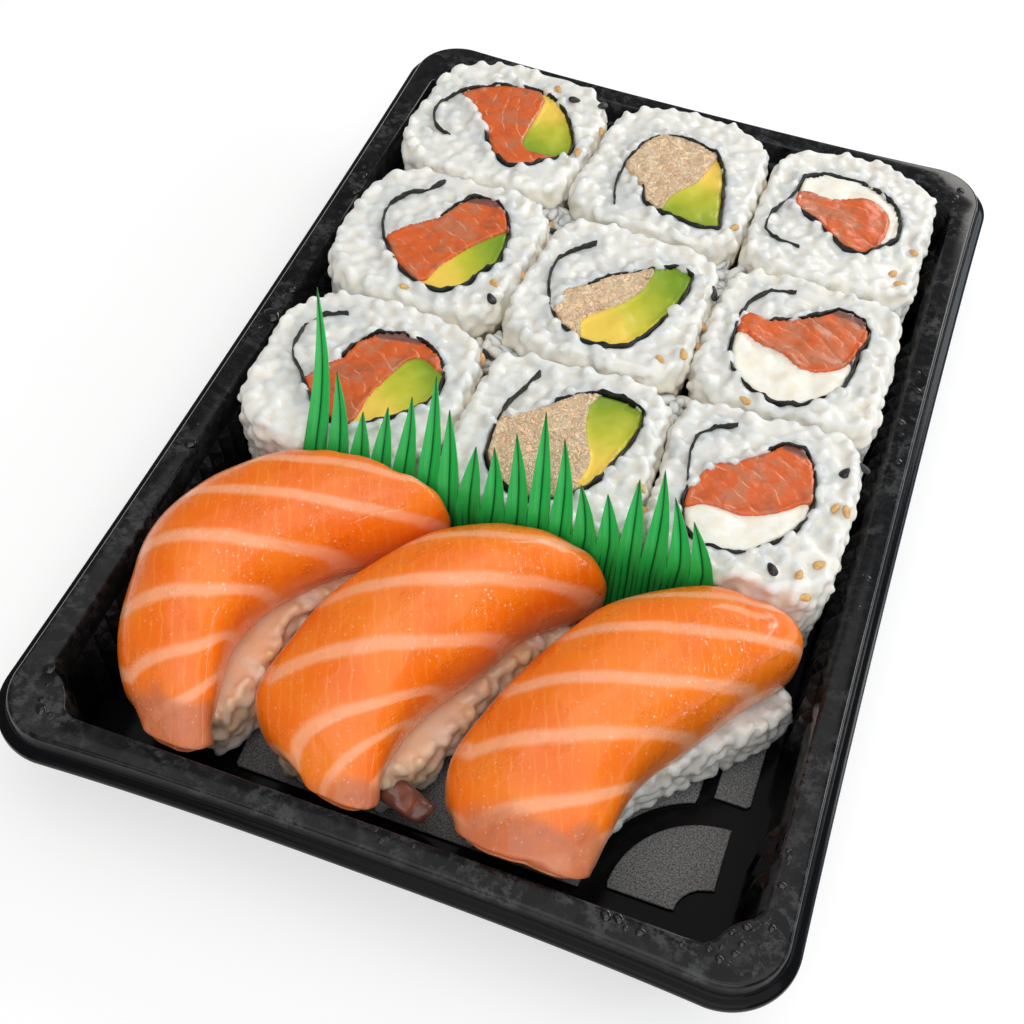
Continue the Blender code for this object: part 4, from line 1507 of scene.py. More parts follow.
@dataclass
class RollRice(RiceHeap):
    """Rice of one roll: grains on the cut face, its shoulders and the sides that stay open."""

    spacing: float = 1.5
    shoulder: float = 9.0
    foot: float = 6.0
    hidden_x: float = 54.0
    hidden_y: tuple[float, float] = (-30.0, 84.0)
    glassy: tuple[float, float] = (1.2, 4.5)
    top: float = field(init=False)
    outline: Array = field(init=False)
    hole: Array = field(init=False)

    def __post_init__(self) -> None:
        """Read the ring's outline, hole and top."""
        loops, self.top = top_loops(self.node)
        self.outline, self.hole = (resample(loop, self.spacing) for loop in loops[:2])

    def free(self, verts: Array) -> Array:
        """Truth values: the sides that no other roll hides."""
        x, y = np.abs(verts[:, 0]), verts[:, 1]
        return (x > self.hidden_x) | (y > self.hidden_y[1]) | (y < self.hidden_y[0])

    def outer(self, verts: Array) -> Array:
        """Truth values: closer to the outline than to the hole."""
        return nearest(verts[:, :2], self.outline) < nearest(verts[:, :2], self.hole)

    def shown(self, verts: Array, normal: Array) -> Array:
        """Truth values: the cut face, the shoulder under it and the free sides."""
        low = (verts[:, 2] > self.top - self.shoulder) | (self.free(verts) & (verts[:, 2] > self.foot))
        return (normal[:, 2] > 0.45) & (verts[:, 2] > self.top - 3.0) | (
            self.outer(verts) & (normal[:, 2] > -0.4) & low)

    def swell(self, verts: Array, normal: Array) -> Array:
        """Bulge of the shoulder and of the rice that closes in on the filling."""
        shoulder = smoothstep(verts[:, 2], self.top - self.shoulder, self.top - 3.0) * (normal[:, 2] < 0.9)
        inner = 1.05 * (1.0 - smoothstep(normal[:, 2], 0.80, 0.98))
        return np.where(self.outer(verts), 0.75 * shoulder, inner)

    def depth(self, verts: Array, normal: Array) -> Array:
        """Warm painted shade in hollows of the cut face and, more so, down between the rolls."""
        hollow = np.clip((self.top - 0.5 - verts[:, 2]) / 1.6, 0.0, 1.0) * (normal[:, 2] > 0.3)
        return 0.30 * hollow + 0.75 * smoothstep(self.top - verts[:, 2], 2.0, 8.0) * ~self.free(verts)

    def clear(self, verts: Array) -> Array:
        """Glassy beside the filling, falling to 0 away from the hole."""
        return 1.0 - smoothstep(nearest(verts[:, :2], self.hole), *self.glassy)


@dataclass
class NigiriRice(RiceHeap):
    """Rice block under a salmon slice, with grains on the sides that stay in view."""

    def shown(self, verts: Array, normal: Array) -> Array:
        """Truth values: everything but the covered top and the foot."""
        return (normal[:, 2] < 0.62) & (normal[:, 2] > -0.5) & (verts[:, 2] > 4.0)

    def swell(self, verts: Array, normal: Array) -> Array:
        """Sides that bulge by a third of a millimetre."""
        return 0.35 * (normal[:, 2] < 0.5)

    def depth(self, verts: Array, normal: Array) -> Array:
        """Hardly any shade."""
        return np.full(len(verts), 0.06)

    def clear(self, verts: Array) -> Array:
        """Rather glassy all over."""
        return np.full(len(verts), 0.75)


@dataclass
class Seaweed:
    """The rolled seaweed sheet of one roll, seen as a thin upright ribbon with a ragged edge."""

    spot: Spot
    finish: Material
    spacing: float = 0.45
    levels: tuple[float, ...] = (-30.0, -12.0, -5.0, -2.5, -1.2, -0.5, -0.12, 0.0)
    foot: float = 2.3
    waver: float = 0.32
    ragged: float = 0.55
    crumple: float = 0.14

    def build(self) -> Piece:
        """Make the ribbon from its flat outline: walls with small creases under an uneven top.

        Returns:
            The piece.
        """
        name = f"seaweed_{self.spot.value}"
        loops, top = top_loops(name)
        plan = relax(resample(loops[0], self.spacing), 3, 0.4)
        n = len(plan)
        flat = np.column_stack((plan, np.full(n, 7.0)))
        plan = plan + self.waver * np.column_stack((lumps(flat, 4.5, 61, 2), lumps(flat, 4.5, 62, 2)))
        out = outward(plan)
        seed = list(Spot).index(self.spot) + 3
        edge = self.ragged * lumps(np.column_stack((plan, np.zeros(n))), 2.0, seed, 3) + 0.30
        rows = []
        for level in self.levels:
            z = np.full(n, max(top + level, self.foot)) + edge * smoothstep(np.full(n, level), -4.0, 0.0)
            at = np.column_stack((plan, z))
            push = self.crumple * lumps(at, 1.6, seed + 1, 2) - (0.30 if level == 0.0 else 0.22)
            rows.append(np.column_stack((plan + out * push[:, None], z)))
        mesh = Mesh()
        mesh.add(np.vstack(rows), grid_faces(len(rows), n, round_columns=True))
        mesh.faces.append(fill_flat([rows[-1][:, :2]], True) + (len(rows) - 1) * n)
        mesh.faces.append(fill_flat([rows[0][:, :2]], False))
        return mesh.make(f"{name}_look", self.finish, "seaweed", (name,), crease=70.0)


@dataclass(frozen=True)
class FillingLook:
    """How the surface of one kind of filling is shaped."""

    voxel: float
    relief: float
    cell: float
    raise_by: float


FILLING_LOOKS = {
    Filling.SALMON: FillingLook(0.6, 0.34, 4.5, 0.1),
    Filling.TUNA: FillingLook(0.5, 0.50, 2.4, 0.3),
    Filling.AVOCADO: FillingLook(0.6, 0.40, 5.0, 0.1),
    Filling.CREAM_CHEESE: FillingLook(0.7, 0.55, 4.2, 0.1),
}


@dataclass(frozen=True)
class Grading:
    """Directions across one filling, in degrees in plan, for its flakes or its green side."""

    turn: float
    pitch: float = 3.3
    bow: float = 0.02
    skin_turn: float | None = None


@dataclass
class FillingPiece:
    """One filling of a roll, with soft relief and the marks that its colours follow."""

    spot: Spot
    kind: Filling
    grading: Grading
    finish: Material
    skin_band: tuple[float, float] = (3.2, 0.6)

    def build(self) -> Piece:
        """Make the piece from its CAD solid: rounded, lumpy, graded from side to side.

        Returns:
            The piece.
        """
        node = f"{self.kind.value}_{self.spot.value}"
        look = FILLING_LOOKS[self.kind]
        seed = 5 * list(Spot).index(self.spot) + len(self.kind.value)
        verts, faces, normal = remesh(*cad_skin(node), look.voxel)
        relief = look.relief * lumps(verts, look.cell, seed, 3)
        upper = smoothstep(verts[:, 2], 20.0, 30.0)
        flank = 1.0 - smoothstep(normal[:, 2], 0.75, 0.97)
        body = verts + normal * (relief * upper * (1.0 - 0.7 * flank) + 0.55 * flank - 0.10)[:, None]
        body[:, 2] += look.raise_by * upper
        mesh = Mesh()
        # deep: high in the hollows of the relief, where the tuna finish paints brown shade.
        mesh.add(body, faces, deep=np.clip(0.45 - relief, 0.0, 1.0), **self.marks(verts))
        return mesh.make(f"{node}_look", self.finish, self.kind.value, (node,))

    def marks(self, verts: Array) -> dict[str, Array]:
        """Flake lines, bent by a square term, a green side and a dark skin side.

        Args:
            verts: Vertices of the filling.

        Returns:
            Named values, one for each vertex.
        """
        grading = self.grading
        middle = verts[:, :2][verts[:, 2] > verts[:, 2].max() - 1.0].mean(axis=0)
        turn = radians(grading.turn)
        gap = verts[:, :2] - middle
        along = gap @ np.array((cos(turn), sin(turn)))
        across = gap @ np.array((-sin(turn), cos(turn)))
        skin = np.zeros(len(verts))
        if grading.skin_turn is not None:
            lean = radians(grading.skin_turn)
            side = gap @ np.array((cos(lean), sin(lean)))
            skin = smoothstep(side, *(float(side.max()) - band for band in self.skin_band))
        return {"flake": (along + grading.bow * across ** 2) / grading.pitch,
                "green": 0.5 + 0.5 * along / max(float(np.abs(along).max()), 1.0), "skin": skin}


# ---- nigiri
class Side(Enum):
    """The three nigiri, named as the CAD nodes are."""

    LEFT = "left"
    MIDDLE = "middle"
    RIGHT = "right"


@dataclass(frozen=True)
class SlabForm:
    """Measures of a draped slice at even steps from tail to head.

    Middle line along X, half width, and heights of the back and both edges; then fractions of the
    length: where the fat stripes cross, how far they sweep on towards the head, and the thin tail.
    """

    middle: tuple[float, ...]
    half: tuple[float, ...]
    back: tuple[float, ...]
    left: tuple[float, ...]
    right: tuple[float, ...]
    stripes: tuple[float, ...]
    sweep: float
    tail: float


SLABS = {
    Side.LEFT: SlabForm((-39.5, -46, -49, -47.5, -40, -26), (6.5, 10, 11, 14, 18, 23.5),
                        (24, 31, 36, 38.5, 39, 43), (20, 17, 14, 14, 14, 17), (20, 19, 18.5, 19, 20, 20),
                        (0.07, 0.19, 0.36, 0.55, 0.77, 0.94), 0.26, 0.06),
    Side.MIDDLE: SlabForm((-8.5, -16, -14.5, -9.5, -2.5, 8.5), (7, 13, 14, 15.5, 15, 19.5),
                          (24.5, 30, 34.5, 37, 38.5, 37), (20, 17.5, 14, 13, 12.5, 11),
                          (20, 17.5, 16, 15.5, 16, 15), (0.04, 0.16, 0.38, 0.65, 0.90), 0.46, -0.02),
    Side.RIGHT: SlabForm((24.5, 22.5, 25, 31, 38, 48), (12, 15, 15, 16.5, 17, 17),
                         (28, 33, 37, 38.5, 39, 37.5), (20, 18, 15, 15, 16, 16),
                         (20, 18.5, 16.5, 17, 16.5, 13), (0.11, 0.31, 0.52, 0.74, 0.93), 0.36, 0.06),
}


@dataclass
class Slab:
    """A slice of salmon draped over its rice."""

    side: Side
    finish: Material
    stations: int = 110
    steps: int = 60
    ends: tuple[float, float] = (-97.6, -38.2)
    thickness: tuple[float, ...] = (2, 4, 5, 5.5, 5.5, 5)
    shoulder: float = 0.42
    head_round: float = 0.22
    head_narrow: float = 0.54
    head_fall: float = 0.76
    side_steps: int = 4
    under_share: float = 0.8
    caps: tuple[tuple[float, float], ...] = ((0.93, 0.45), (0.78, 0.75), (0.5, 0.9), (0.2, 0.95))
    grain: Point = (0.94, 0.34, 0.10)
    grain_pitch: float = 2.1
    fold: float = 0.24
    # Middle and width, across the slice, of the right flank where painted highlights are strongest.
    flank: tuple[float, float] = (0.74, 0.13)

    @property
    def seed(self) -> int:
        """Seed of the slice's noise."""
        return 20 + list(Side).index(self.side)

    def read(self, values: Sequence[float], s: Array) -> Array:
        """Smoothly read a short list of values at fractions of the length."""
        dense = curve(np.column_stack((np.linspace(0, 1, len(values)), values)), 160)
        return np.interp(s, dense[:, 0], dense[:, 1])

    def measures(self, s: Array) -> dict[str, Array]:
        """Measures of the slice: towards the head it narrows and falls like a quarter of an ellipse.

        Args:
            s: Fractions of the length.

        Returns:
            The form's measures and the thickness, one value for each fraction.
        """
        form = SLABS[self.side]
        m = {name: self.read(getattr(form, name), s) for name in ("middle", "half", "back", "left", "right")}
        past = np.clip((s - 1 + self.head_round) / self.head_round, 0, 1)
        roundness = np.sqrt(1 - 0.93 * past ** 2)
        low = 0.5 * (m["left"] + m["right"])
        m["half"] = m["half"] * (self.head_narrow + (1 - self.head_narrow) * roundness)
        m["back"] = low + 3 + (m["back"] - low - 3) * (self.head_fall + (1 - self.head_fall) * roundness)
        room = 0.6 * (m["back"] - np.maximum(m["left"], m["right"]))
        m["thick"] = np.minimum(np.minimum(self.read(self.thickness, s), 0.45 * m["half"]), room)
        return m

    def section(self, m: dict[str, Array], across: Array, thin: float, drop: float) -> Array:
        """Arched line over the rice: the height follows sin^shoulder of the angle across.

        Args:
            m: Measures at each station.
            across: Angles from pi, left, to 0, right.
            thin: How many thicknesses narrower the line is than the slice.
            drop: How many thicknesses lower it is.

        Returns:
            Offsets and heights, shape (stations, angles, 2).
        """
        side = np.cos(across)[None, :]
        rise = np.sin(across).clip(0.0, 1.0)[None, :] ** self.shoulder
        edge = m["left"][:, None] + (m["right"] - m["left"])[:, None] * (side + 1) / 2
        z = edge + (m["back"][:, None] - (drop * m["thick"])[:, None] - edge) * rise
        return np.stack(((m["half"] - thin * m["thick"])[:, None] * side, z), axis=-1)

    def loft(self, s: Array) -> tuple[Array, Array]:
        """Closed sections along the slice, with softened edges.

        Args:
            s: Fractions of the length.

        Returns:
            Points, shape (stations, points, 3), and the fraction across, 0 left to 1 right, of each.
        """
        m = self.measures(s)
        over_at = pi * (1.0 - np.linspace(0.0, 1.0, self.steps))
        under_at = over_at[::-2]
        over = self.section(m, over_at, 0.0, 0.0)
        under = self.section(m, under_at, self.under_share, 1.0)
        gap = np.linspace(0.0, 1.0, self.side_steps + 2)[1:-1][None, :, None]
        right_edge = over[:, -1:] * (1 - gap) + under[:, :1] * gap
        left_edge = under[:, -1:] * (1 - gap) + over[:, :1] * gap
        loop = np.concatenate((over, right_edge, under, left_edge), axis=1)
        for _ in range(4):
            loop += 0.35 * (0.5 * (np.roll(loop, 1, axis=1) + np.roll(loop, -1, axis=1)) - loop)
        y = self.ends[0] + (self.ends[1] - self.ends[0]) * s
        points = np.stack((loop[..., 0] + m["middle"][:, None], np.broadcast_to(y[:, None], loop.shape[:2]),
                           loop[..., 1]), axis=-1)
        w = np.concatenate((np.linspace(0, 1, self.steps), np.ones(self.side_steps),
                            np.linspace(1, 0, len(under_at)), np.zeros(self.side_steps)))
        return points, w

    def waver(self, points: Array, s: Array, w: Array) -> None:
        """Let the slice wave by a third of a millimetre, ragged at both ends and cornered at the tail.

        Args:
            points: Points of the sections, which are moved.
            s: Fraction of the length of each section.
            w: Fraction across of each point.
        """
        shape = points.shape[:2]
        flat = points.reshape(-1, 3)
        points[..., 2] += 0.30 * lumps(flat, 9.0, self.seed, 2).reshape(shape)
        at_ends = smoothstep(s, 0.9, 1.0) + 1.0 - smoothstep(s, 0.0, 0.1)
        ragged = lumps(flat * (1, 0.2, 1), 7.0, self.seed + 5, 2).reshape(shape)
        points[..., 1] += 0.8 * ragged * at_ends[:, None]
        points[..., 1] += 3.2 * (1.0 - smoothstep(s, 0.0, 0.13))[:, None] * (np.abs(2 * w - 1) ** 3)[None, :]

    def marks(self, rings: Array, s: Array, w: Array) -> dict[str, Array]:
        """Values that the finish follows.

        "band" counts the stripes, which lag behind towards the right; "across" counts fibres and glint
        threads;
        "edge", "tail" and "flank" are 1 on the cut edge, the thin tail and the right flank, where painted
        highlights are strongest.

        Args:
            rings: Points of the sections, shape (sections, points, 3).
            s: Fraction of the length of each section.
            w: Fraction across of each point.

        Returns:
            Named values, one for each point.
        """
        form = SLABS[self.side]
        shape = rings.shape[:2]
        along = s[:, None]
        turned = np.maximum(w, self.fold) - 0.5 + 0.4 * np.maximum(self.fold - w, 0.0)
        lag = form.sweep * turned + 0.08 * np.maximum(2 * w - 1, 0.0) ** 3
        stops = np.array((form.stripes[0] - 0.16, *form.stripes, form.stripes[-1] + 0.2))
        ragged = 0.035 * lumps(rings.reshape(-1, 3), 5.0, self.seed + 9, 2).reshape(shape)
        middle, width = self.flank
        marks = {
            "band": np.interp(along - lag, stops, np.arange(len(stops))),
            "across": rings @ np.array(self.grain) / self.grain_pitch,
            "edge": smoothstep(np.abs(2 * w - 1), 0.90, 1.0),
            "tail": 1.0 - smoothstep(along - 0.10 * w + ragged, form.tail - 0.05, form.tail + 0.02),
            "flank": np.exp(-((w - middle) / width) ** 2) * smoothstep(along, 0.30, 0.5) * (
                1.0 - smoothstep(along, 0.80, 0.95)),
        }
        return {name: np.broadcast_to(values, shape).ravel() for name, values in marks.items()}

    def build(self) -> Piece:
        """Loft the slice, round its ends with shrinking rings, and mark its stripes.

        Returns:
            The piece.
        """
        s = np.linspace(0.0, 1.0, self.stations)
        points, w = self.loft(s)
        self.waver(points, s, w)
        tail, head = ([end.mean(axis=0) + (end - end.mean(axis=0)) * shrink + (0.0, way * bulge, 0.0)
                       for shrink, bulge in self.caps] for end, way in ((points[0], -1.0), (points[-1], 1.0)))
        rings = np.concatenate((np.array(tail)[::-1], points, np.array(head)))
        rows, count = rings.shape[:2]
        s_all = np.concatenate((np.zeros(len(tail)), s, np.ones(len(head))))
        mesh = Mesh()
        mesh.add(rings.reshape(-1, 3), grid_faces(rows, count, round_columns=True, flip=True),
                 **self.marks(rings, s_all, w))
        columns = np.arange(count)[None]
        mesh.faces += [columns, (rows - 1) * count + columns[:, ::-1]]
        name = f"fish_{self.side.value}"
        return mesh.make(f"{name}_look", self.finish, "salmon_slab", (name,))


@dataclass
class Curl:
    """A loose curl of salmon trimming that lies on the floor beside the middle slice."""

    finish: Material
    start: Point = (-5.0, -86.0, 12.4)
    end: Point = (5.2, -88.0, 9.0)
    radius: float = 2.7
    thick: float = 0.7
    rows: int = 14
    turns: int = 26

    def build(self) -> Piece:
        """Sweep an open spiral along the line: radius shrinks with the angle, narrower at both ends.

        Returns:
            The piece.
        """
        angle = np.linspace(-0.5, 3.6, self.turns)
        outer = self.radius * (1.0 - 0.09 * (angle + 0.6))
        wall, inner = (np.column_stack((reach * np.cos(angle), reach * np.sin(angle)))
                       for reach in (outer, outer - self.thick))
        ring = np.concatenate((wall, inner[::-1]))
        t = np.linspace(0.0, 1.0, self.rows)
        way = np.array(self.end) - self.start
        along = way / np.linalg.norm(way)
        side = np.cross(along, (0.0, 0.0, 1.0))
        side /= np.linalg.norm(side)
        up = np.cross(side, along)
        swell = (0.62 + 0.42 * np.sin(pi * t ** 0.8) + 0.10 * np.sin(9.0 * t))[:, None, None]
        points = (np.array(self.start) + t[:, None, None] * way
                  + swell * (1.25 * ring[None, :, :1] * side + 0.6 * ring[None, :, 1:] * up))
        flat = points.reshape(-1, 3)
        flat = flat + 0.55 * np.column_stack([lumps(flat, 3.2, 90 + k, 2) for k in range(3)])
        n = len(ring)
        ends = np.arange(n)[None]
        mesh = Mesh()
        mesh.add(flat, grid_faces(self.rows, n, round_columns=True), flake=flat[:, 0] * 0.4, skin=0.70)
        mesh.faces += [ends[:, ::-1], (self.rows - 1) * n + ends]
        return mesh.make("salmon_curl", self.finish, "salmon")


# ---- assemblies
GRADINGS = {
    Spot.BACK_LEFT: {Filling.SALMON: Grading(200), Filling.AVOCADO: Grading(-80)},
    Spot.BACK_MIDDLE: {Filling.TUNA: Grading(0), Filling.AVOCADO: Grading(-90)},
    Spot.BACK_RIGHT: {Filling.SALMON: Grading(70), Filling.CREAM_CHEESE: Grading(0)},
    Spot.MIDDLE_LEFT: {Filling.SALMON: Grading(60, skin_turn=100), Filling.AVOCADO: Grading(42)},
    Spot.MIDDLE: {Filling.TUNA: Grading(0), Filling.AVOCADO: Grading(48)},
    Spot.MIDDLE_RIGHT: {Filling.SALMON: Grading(60, skin_turn=80), Filling.CREAM_CHEESE: Grading(0)},
    Spot.FRONT_LEFT: {Filling.SALMON: Grading(50, skin_turn=100), Filling.AVOCADO: Grading(60)},
    Spot.FRONT_MIDDLE: {Filling.TUNA: Grading(0), Filling.AVOCADO: Grading(95)},
    Spot.FRONT_RIGHT: {Filling.SALMON: Grading(60, skin_turn=80), Filling.CREAM_CHEESE: Grading(0)},
}


@dataclass
class Rolls:
    """The nine rolls with their rice, seaweed and fillings."""

    rice: Material
    seaweed: Material
    fillings: dict[Filling, Material]

    def build(self) -> list[Piece]:
        """Make every roll.

        Returns:
            The nine pieces of rice, which seeds can lie on.
        """
        heaps = []
        for number, spot in enumerate(Spot):
            heaps.append(RollRice(f"rice_{spot.value}", self.rice, 100 + number).build())
            Seaweed(spot, self.seaweed).build()
        for spot, gradings in GRADINGS.items():
            for kind, grading in gradings.items():
                FillingPiece(spot, kind, grading, self.fillings[kind]).build()
        return heaps


@dataclass
class LooseRice:
    """Small clumps of grains pressed into the corners where four rolls meet."""

    finish: Material
    corners: tuple[tuple[float, float], ...] = ((-18.0, 50.5), (22.5, 48.0), (-18.0, 7.5), (23.0, 6.5))
    radius: float = 5.2
    count: int = 70
    seed: int = 31
    heights: tuple[float, float] = (19.0, 27.5)

    def build(self) -> Piece:
        """Pile grains at each corner: more of them, and higher, towards its middle.

        Returns:
            The piece.
        """
        rng = np.random.default_rng(self.seed)
        mesh = Mesh()
        for corner in self.corners:
            reach = self.radius * np.sqrt(rng.uniform(0.0, 1.0, self.count))
            angle = rng.uniform(0.0, 2 * pi, self.count)
            z = rng.uniform(*self.heights, self.count) - 0.15 * reach
            x, y = corner[0] + reach * np.cos(angle), corner[1] + reach * np.sin(angle)
            up = np.tile((0.0, 0.0, 1.0), (self.count, 1)) + 0.3 * rng.normal(size=(self.count, 3))
            up /= np.linalg.norm(up, axis=1, keepdims=True)
            size = np.column_stack([rng.uniform(low, high, self.count)
                                    for low, high in ((2.0, 2.7), (1.1, 1.4), (1.0, 1.2))])
            # deep: painted shade, stronger for grains that lie lower.
            scatter(mesh, np.column_stack((x, y, z)), up, size, rng, tone=rng.uniform(0.0, 0.6, self.count),
                    deep=np.clip((27.0 - z) / 6.0, 0.2, 1.0), peach=np.zeros(self.count))
        return mesh.make("loose_rice", self.finish, "rice")


class SeedKind(Enum):
    """The two kinds of sesame seed."""

    BLACK = "black"
    TOASTED = "toasted"


SEED_PLACES = {
    SeedKind.BLACK: ((21, 36), (-29, 21), (-22, 15), (-19, 5), (-19, 46), (58, -3), (61, 1), (50, -31),
                     (-20, 86), (-27, 86), (-18, 74)),
    SeedKind.TOASTED: ((-32, 89), (-18, 79), (-20, 67), (-40, 11), (-19, 27), (-23, 20), (-20, 49), (21, 28),
                       (22, 22), (20, 15), (16, 12), (-19, 2), (-23, -11), (56, 57), (59, 65), (58, 54),
                       (58, -12), (60, -13), (58, -26), (55, -30), (57, -33), (35, 8), (22, -21), (24, -25),
                       (20, 57)),
}


@dataclass
class Seeds:
    """Sesame seeds lying on the rice."""

    kind: SeedKind
    finish: Material
    half: Point
    rows: int = 9
    columns: int = 10
    narrow: float = 0.28
    rice_floor: float = 18.0
    drop_from: float = 80.0

    def shape(self) -> tuple[Array, Array]:
        """A teardrop: radius sin(a) narrowed by a quarter towards the pointed end.

        Returns:
            Vertices of length 2 and faces, with open ends.
        """
        a = np.linspace(0.02, pi - 0.02, self.rows)
        turn = 2 * pi * np.arange(self.columns) / self.columns
        radius = np.sin(a) * (1.0 - self.narrow * np.cos(a))
        along = np.broadcast_to(np.cos(a)[:, None], (self.rows, self.columns))
        verts = np.stack((along, radius[:, None] * np.cos(turn), radius[:, None] * np.sin(turn)), axis=-1)
        return verts.reshape(-1, 3), grid_faces(self.rows, self.columns, round_columns=True)

    def build(self, heaps: Sequence[Piece]) -> Piece:
        """Drop each seed onto the highest heap below it and lay it along the surface.

        Args:
            heaps: Pieces that seeds can lie on.

        Returns:
            All seeds of this kind as one piece.
        """
        places = SEED_PLACES[self.kind]
        rng = np.random.default_rng(70 + len(places))
        verts, quads = self.shape()
        ring = np.arange(self.columns)[None]
        mesh = Mesh()
        for x, y in places:
            found = [heap.ray_cast(Vector((x, y, self.drop_from)) * MM, Vector((0.0, 0.0, -1.0)))
                     for heap in heaps]
            hits = [(at, normal) for hit, at, normal, _ in found if hit and at.z > self.rice_floor * MM]
            if not hits:
                continue
            at, normal = max(hits, key=lambda hit: hit[0].z)
            up = np.array(normal) + (0.0, 0.0, 0.6)
            up /= np.linalg.norm(up)
            way = np.cross(up, rng.normal(size=3))
            way /= np.linalg.norm(way)
            axes = np.stack((way, np.cross(up, way), up))
            size = np.array(self.half) * rng.uniform(0.85, 1.1, 3)
            points = np.array(at) / MM + up * 0.35 * size[2] + (verts * size) @ axes
            first = mesh.add(points, quads)
            mesh.faces += [first + ring[:, ::-1], first + len(verts) - self.columns + ring]
        slot = "seaweed" if self.kind is SeedKind.BLACK else "rice"
        return mesh.make(f"sesame_{self.kind.value}", self.finish, slot)


@dataclass
class Droplets:
    """Water drops on the tray's flat rim, singly and in small puddles."""

    finish: Material
    tray: Tray
    height: float = 24.55
    seed: int = 9
    rows: int = 7
    columns: int = 20
    patches: tuple[tuple[float, float, float, int, float], ...] = (
        (62.0, -97.0, 8.0, 60, 0.9), (68.0, -80.0, 6.0, 18, 0.9), (67.5, -30.0, 16.0, 18, 1.0),
        (68.0, 20.0, 24.0, 28, 1.0), (66.0, 97.0, 6.0, 12, 1.0), (-68.0, 52.0, 18.0, 34, 1.4),
        (-68.0, 8.0, 12.0, 16, 1.8), (-68.0, -40.0, 22.0, 20, 1.4), (-64.0, -97.0, 7.0, 20, 1.1),
        (-30.0, -103.0, 14.0, 14, 1.0), (10.0, -103.5, 16.0, 16, 1.0), (40.0, -102.5, 10.0, 14, 1.0),
        (-20.0, 102.5, 30.0, 10, 1.0),
    )

    def build(self) -> Piece:
        """Lay low domes with a steep foot inside the rim's flat band, none of them over another.

        Returns:
            The piece.
        """
        rng = np.random.default_rng(self.seed)
        outer = self.tray.ring("rim", -1.6)[0]
        inner = self.tray.ring("mouth", 0.9)[0]
        slope = np.linspace(0.0, pi / 2, self.rows)[:, None]
        turn = (2 * pi * np.arange(self.columns) / self.columns)[None, :]
        foot = (self.rows - 1) * self.columns + np.arange(self.columns)[None, ::-1]
        faces = grid_faces(self.rows, self.columns, round_columns=True, flip=True)
        mesh = Mesh()
        for x, y, reach, count, scale in self.patches:
            at = np.column_stack([middle + rng.normal(0, 0.5, 4 * count) * reach for middle in (x, y)])
            at = at[inside(at, outer) & ~inside(at, inner)][:count]
            radii = scale * (0.28 + 0.95 * rng.uniform(size=len(at)) ** 3)
            room = np.linalg.norm(at[:, None] - at[None], axis=2) - radii[:, None] - radii[None]
            free = ~np.tril(room < 0.0, -1).any(axis=1)
            for (cx, cy), radius in zip(at[free], radii[free]):
                wobble = 1.0
                for strength, waves in ((0.10, 2), (0.04, 3)):
                    wobble = wobble + strength * np.sin(waves * turn + rng.uniform(0, 6))
                r = radius * np.sin(slope) * wobble
                z = self.height + 0.50 * radius * np.cos(slope) ** 0.9
                dome = np.stack((cx + r * np.cos(turn), cy + r * np.sin(turn), np.broadcast_to(z, r.shape)),
                                axis=-1)
                dome[-1, :, 2] = self.height - 0.3
                first = mesh.add(dome.reshape(-1, 3), faces)
                mesh.faces.append(first + foot)
        return mesh.make("droplets", self.finish, "tray_black")


@dataclass
class Nigiri:
    """The three nigiri: rice blocks with salmon slices over them."""

    rice: Material
    slab: Material

    def build(self) -> None:
        """Make rice and slice of each."""
        for number, side in enumerate(Side):
            peach = 0.04 if side is Side.RIGHT else 0.85
            NigiriRice(f"nigiri_rice_{side.value}", self.rice, 200 + number, peach, proud=0.35).build()
            Slab(side, self.slab).build()


@dataclass(frozen=True)
class Lamp:
    """Rectangular soft lamp that looks at the middle of the tray, in metres and watts."""

    name: str
    at: Point
    size: tuple[float, float]
    power: float
    colour: Colour = (1.0, 1.0, 1.0)
    target: Point = (0.0, 0.0, 0.03)

    def build(self) -> None:
        """Add the lamp to the scene."""
        light = bpy.data.lights.new(self.name, "AREA")
        light.shape = "RECTANGLE"
        light.size, light.size_y = self.size
        light.energy = self.power
        light.color = self.colour
        lamp = bpy.data.objects.new(self.name, light)
        look = (Vector(self.target) - Vector(self.at)).to_track_quat("-Z", "Y")
        lamp.matrix_world = Matrix.Translation(self.at) @ look.to_matrix().to_4x4()
        bpy.context.scene.collection.objects.link(lamp)


LAMPS = (
    Lamp("window", (0.30, 0.75, 0.50), (0.55, 0.20), 2.2, (1.0, 0.96, 0.90)),
    Lamp("overhead", (-0.10, 0.15, 0.80), (0.60, 0.60), 0.8),
    Lamp("ceiling", (0.25, -0.25, 0.95), (1.1, 0.9), 4.1),
    Lamp("fill", (0.15, -0.85, 0.75), (1.2, 0.8), 3.9),
    Lamp("glint", (0.72, 0.44, 0.40), (0.16, 0.16), 0.8, (1.0, 0.98, 0.94)),
    Lamp("side_strip", (0.80, 0.58, 0.44), (1.1, 0.07), 2.3, (0.62, 0.81, 1.0)),
    Lamp("front_strip", (0.30, -0.95, 0.26), (0.9, 0.06), 1.0, (1.0, 0.90, 0.78)),
)


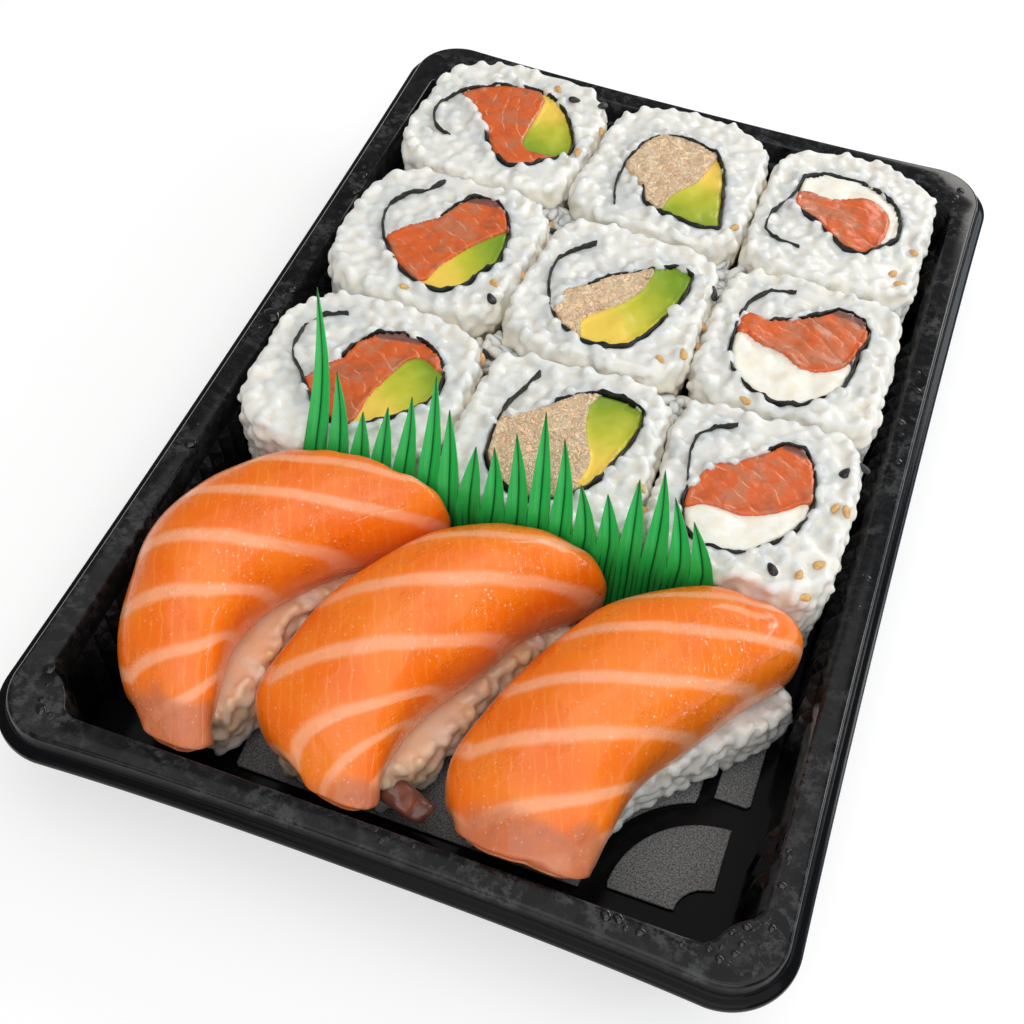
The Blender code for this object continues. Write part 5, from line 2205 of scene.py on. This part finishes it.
@dataclass
class Studio:
    """White table of half side reach, lamps, and the camera.

    The camera looks fall degrees down from the level and swing degrees to the right of +Y, and is
    rolled about its line of sight.  Reach and place are in metres, lens in millimetres.
    """

    floor: Material
    reach: float = 3.0
    glow: float = 0.24
    place: Point = (0.04935, -0.19662, 0.25299)
    fall: float = 52.63575
    swing: float = -16.71531
    roll: float = 3.89888
    lens: float = 51.93

    def build(self) -> None:
        """Set up table, world, lamps and camera."""
        scene = bpy.context.scene
        mesh = bpy.data.meshes.new("table")
        corners = ((-1, -1), (1, -1), (1, 1), (-1, 1))
        mesh.from_pydata([(x * self.reach, y * self.reach, 0) for x, y in corners], [], [(0, 1, 2, 3)])
        mesh.materials.append(self.floor)
        table = bpy.data.objects.new("table", mesh)
        scene.collection.objects.link(table)
        world = bpy.data.worlds.new("studio")
        world.use_nodes = True
        sky = world.node_tree.nodes["Background"].inputs
        sky["Color"].default_value = (1.0, 1.0, 1.0, 1.0)
        sky["Strength"].default_value = self.glow
        scene.world = world
        for lamp in LAMPS:
            lamp.build()
        camera = bpy.data.cameras.new("camera")
        camera.lens = self.lens
        camera.sensor_width = 36.0
        camera.clip_start = 0.01
        view = bpy.data.objects.new("camera", camera)
        turns = ((-self.swing, "Z"), (90.0 - self.fall, "X"), (self.roll, "Z"))
        view.matrix_world = Matrix.Translation(self.place)
        for degrees, axis in turns:
            view.matrix_world = view.matrix_world @ Matrix.Rotation(radians(degrees), 4, axis)
        scene.collection.objects.link(view)
        scene.camera = view
        scene.view_settings.view_transform = "Standard"


def main() -> None:
    """Build every sub-assembly in order."""
    logging.basicConfig(level=logging.INFO)
    rice, seaweed = RiceFinish().make(), SeaweedFinish().make()
    fillings = {Filling.SALMON: SalmonFinish().make(), Filling.TUNA: TunaFinish().make(),
                Filling.AVOCADO: AvocadoFinish().make(), Filling.CREAM_CHEESE: CheeseFinish().make()}
    tray = Tray(TrayFinish().make())
    tray.build()
    Droplets(WaterFinish().make(), tray).build()
    Grass(GrassFinish().make()).build()
    heaps = Rolls(rice, seaweed, fillings).build()
    heaps.append(LooseRice(rice).build())
    Nigiri(rice, SlabFinish().make()).build()
    Curl(fillings[Filling.SALMON]).build()
    black = SeedFinish("sesame_black", (0.020, 0.018, 0.020), (0.006, 0.006, 0.007)).make()
    toasted = SeedFinish("sesame_toasted", (0.78, 0.47, 0.17), (0.62, 0.32, 0.10)).make()
    Seeds(SeedKind.BLACK, black, (1.75, 1.05, 0.62)).build(heaps)
    Seeds(SeedKind.TOASTED, toasted, (1.35, 0.80, 0.55)).build(heaps)
    Studio(FloorFinish().make()).build()


if __name__ == "__main__":
    main()
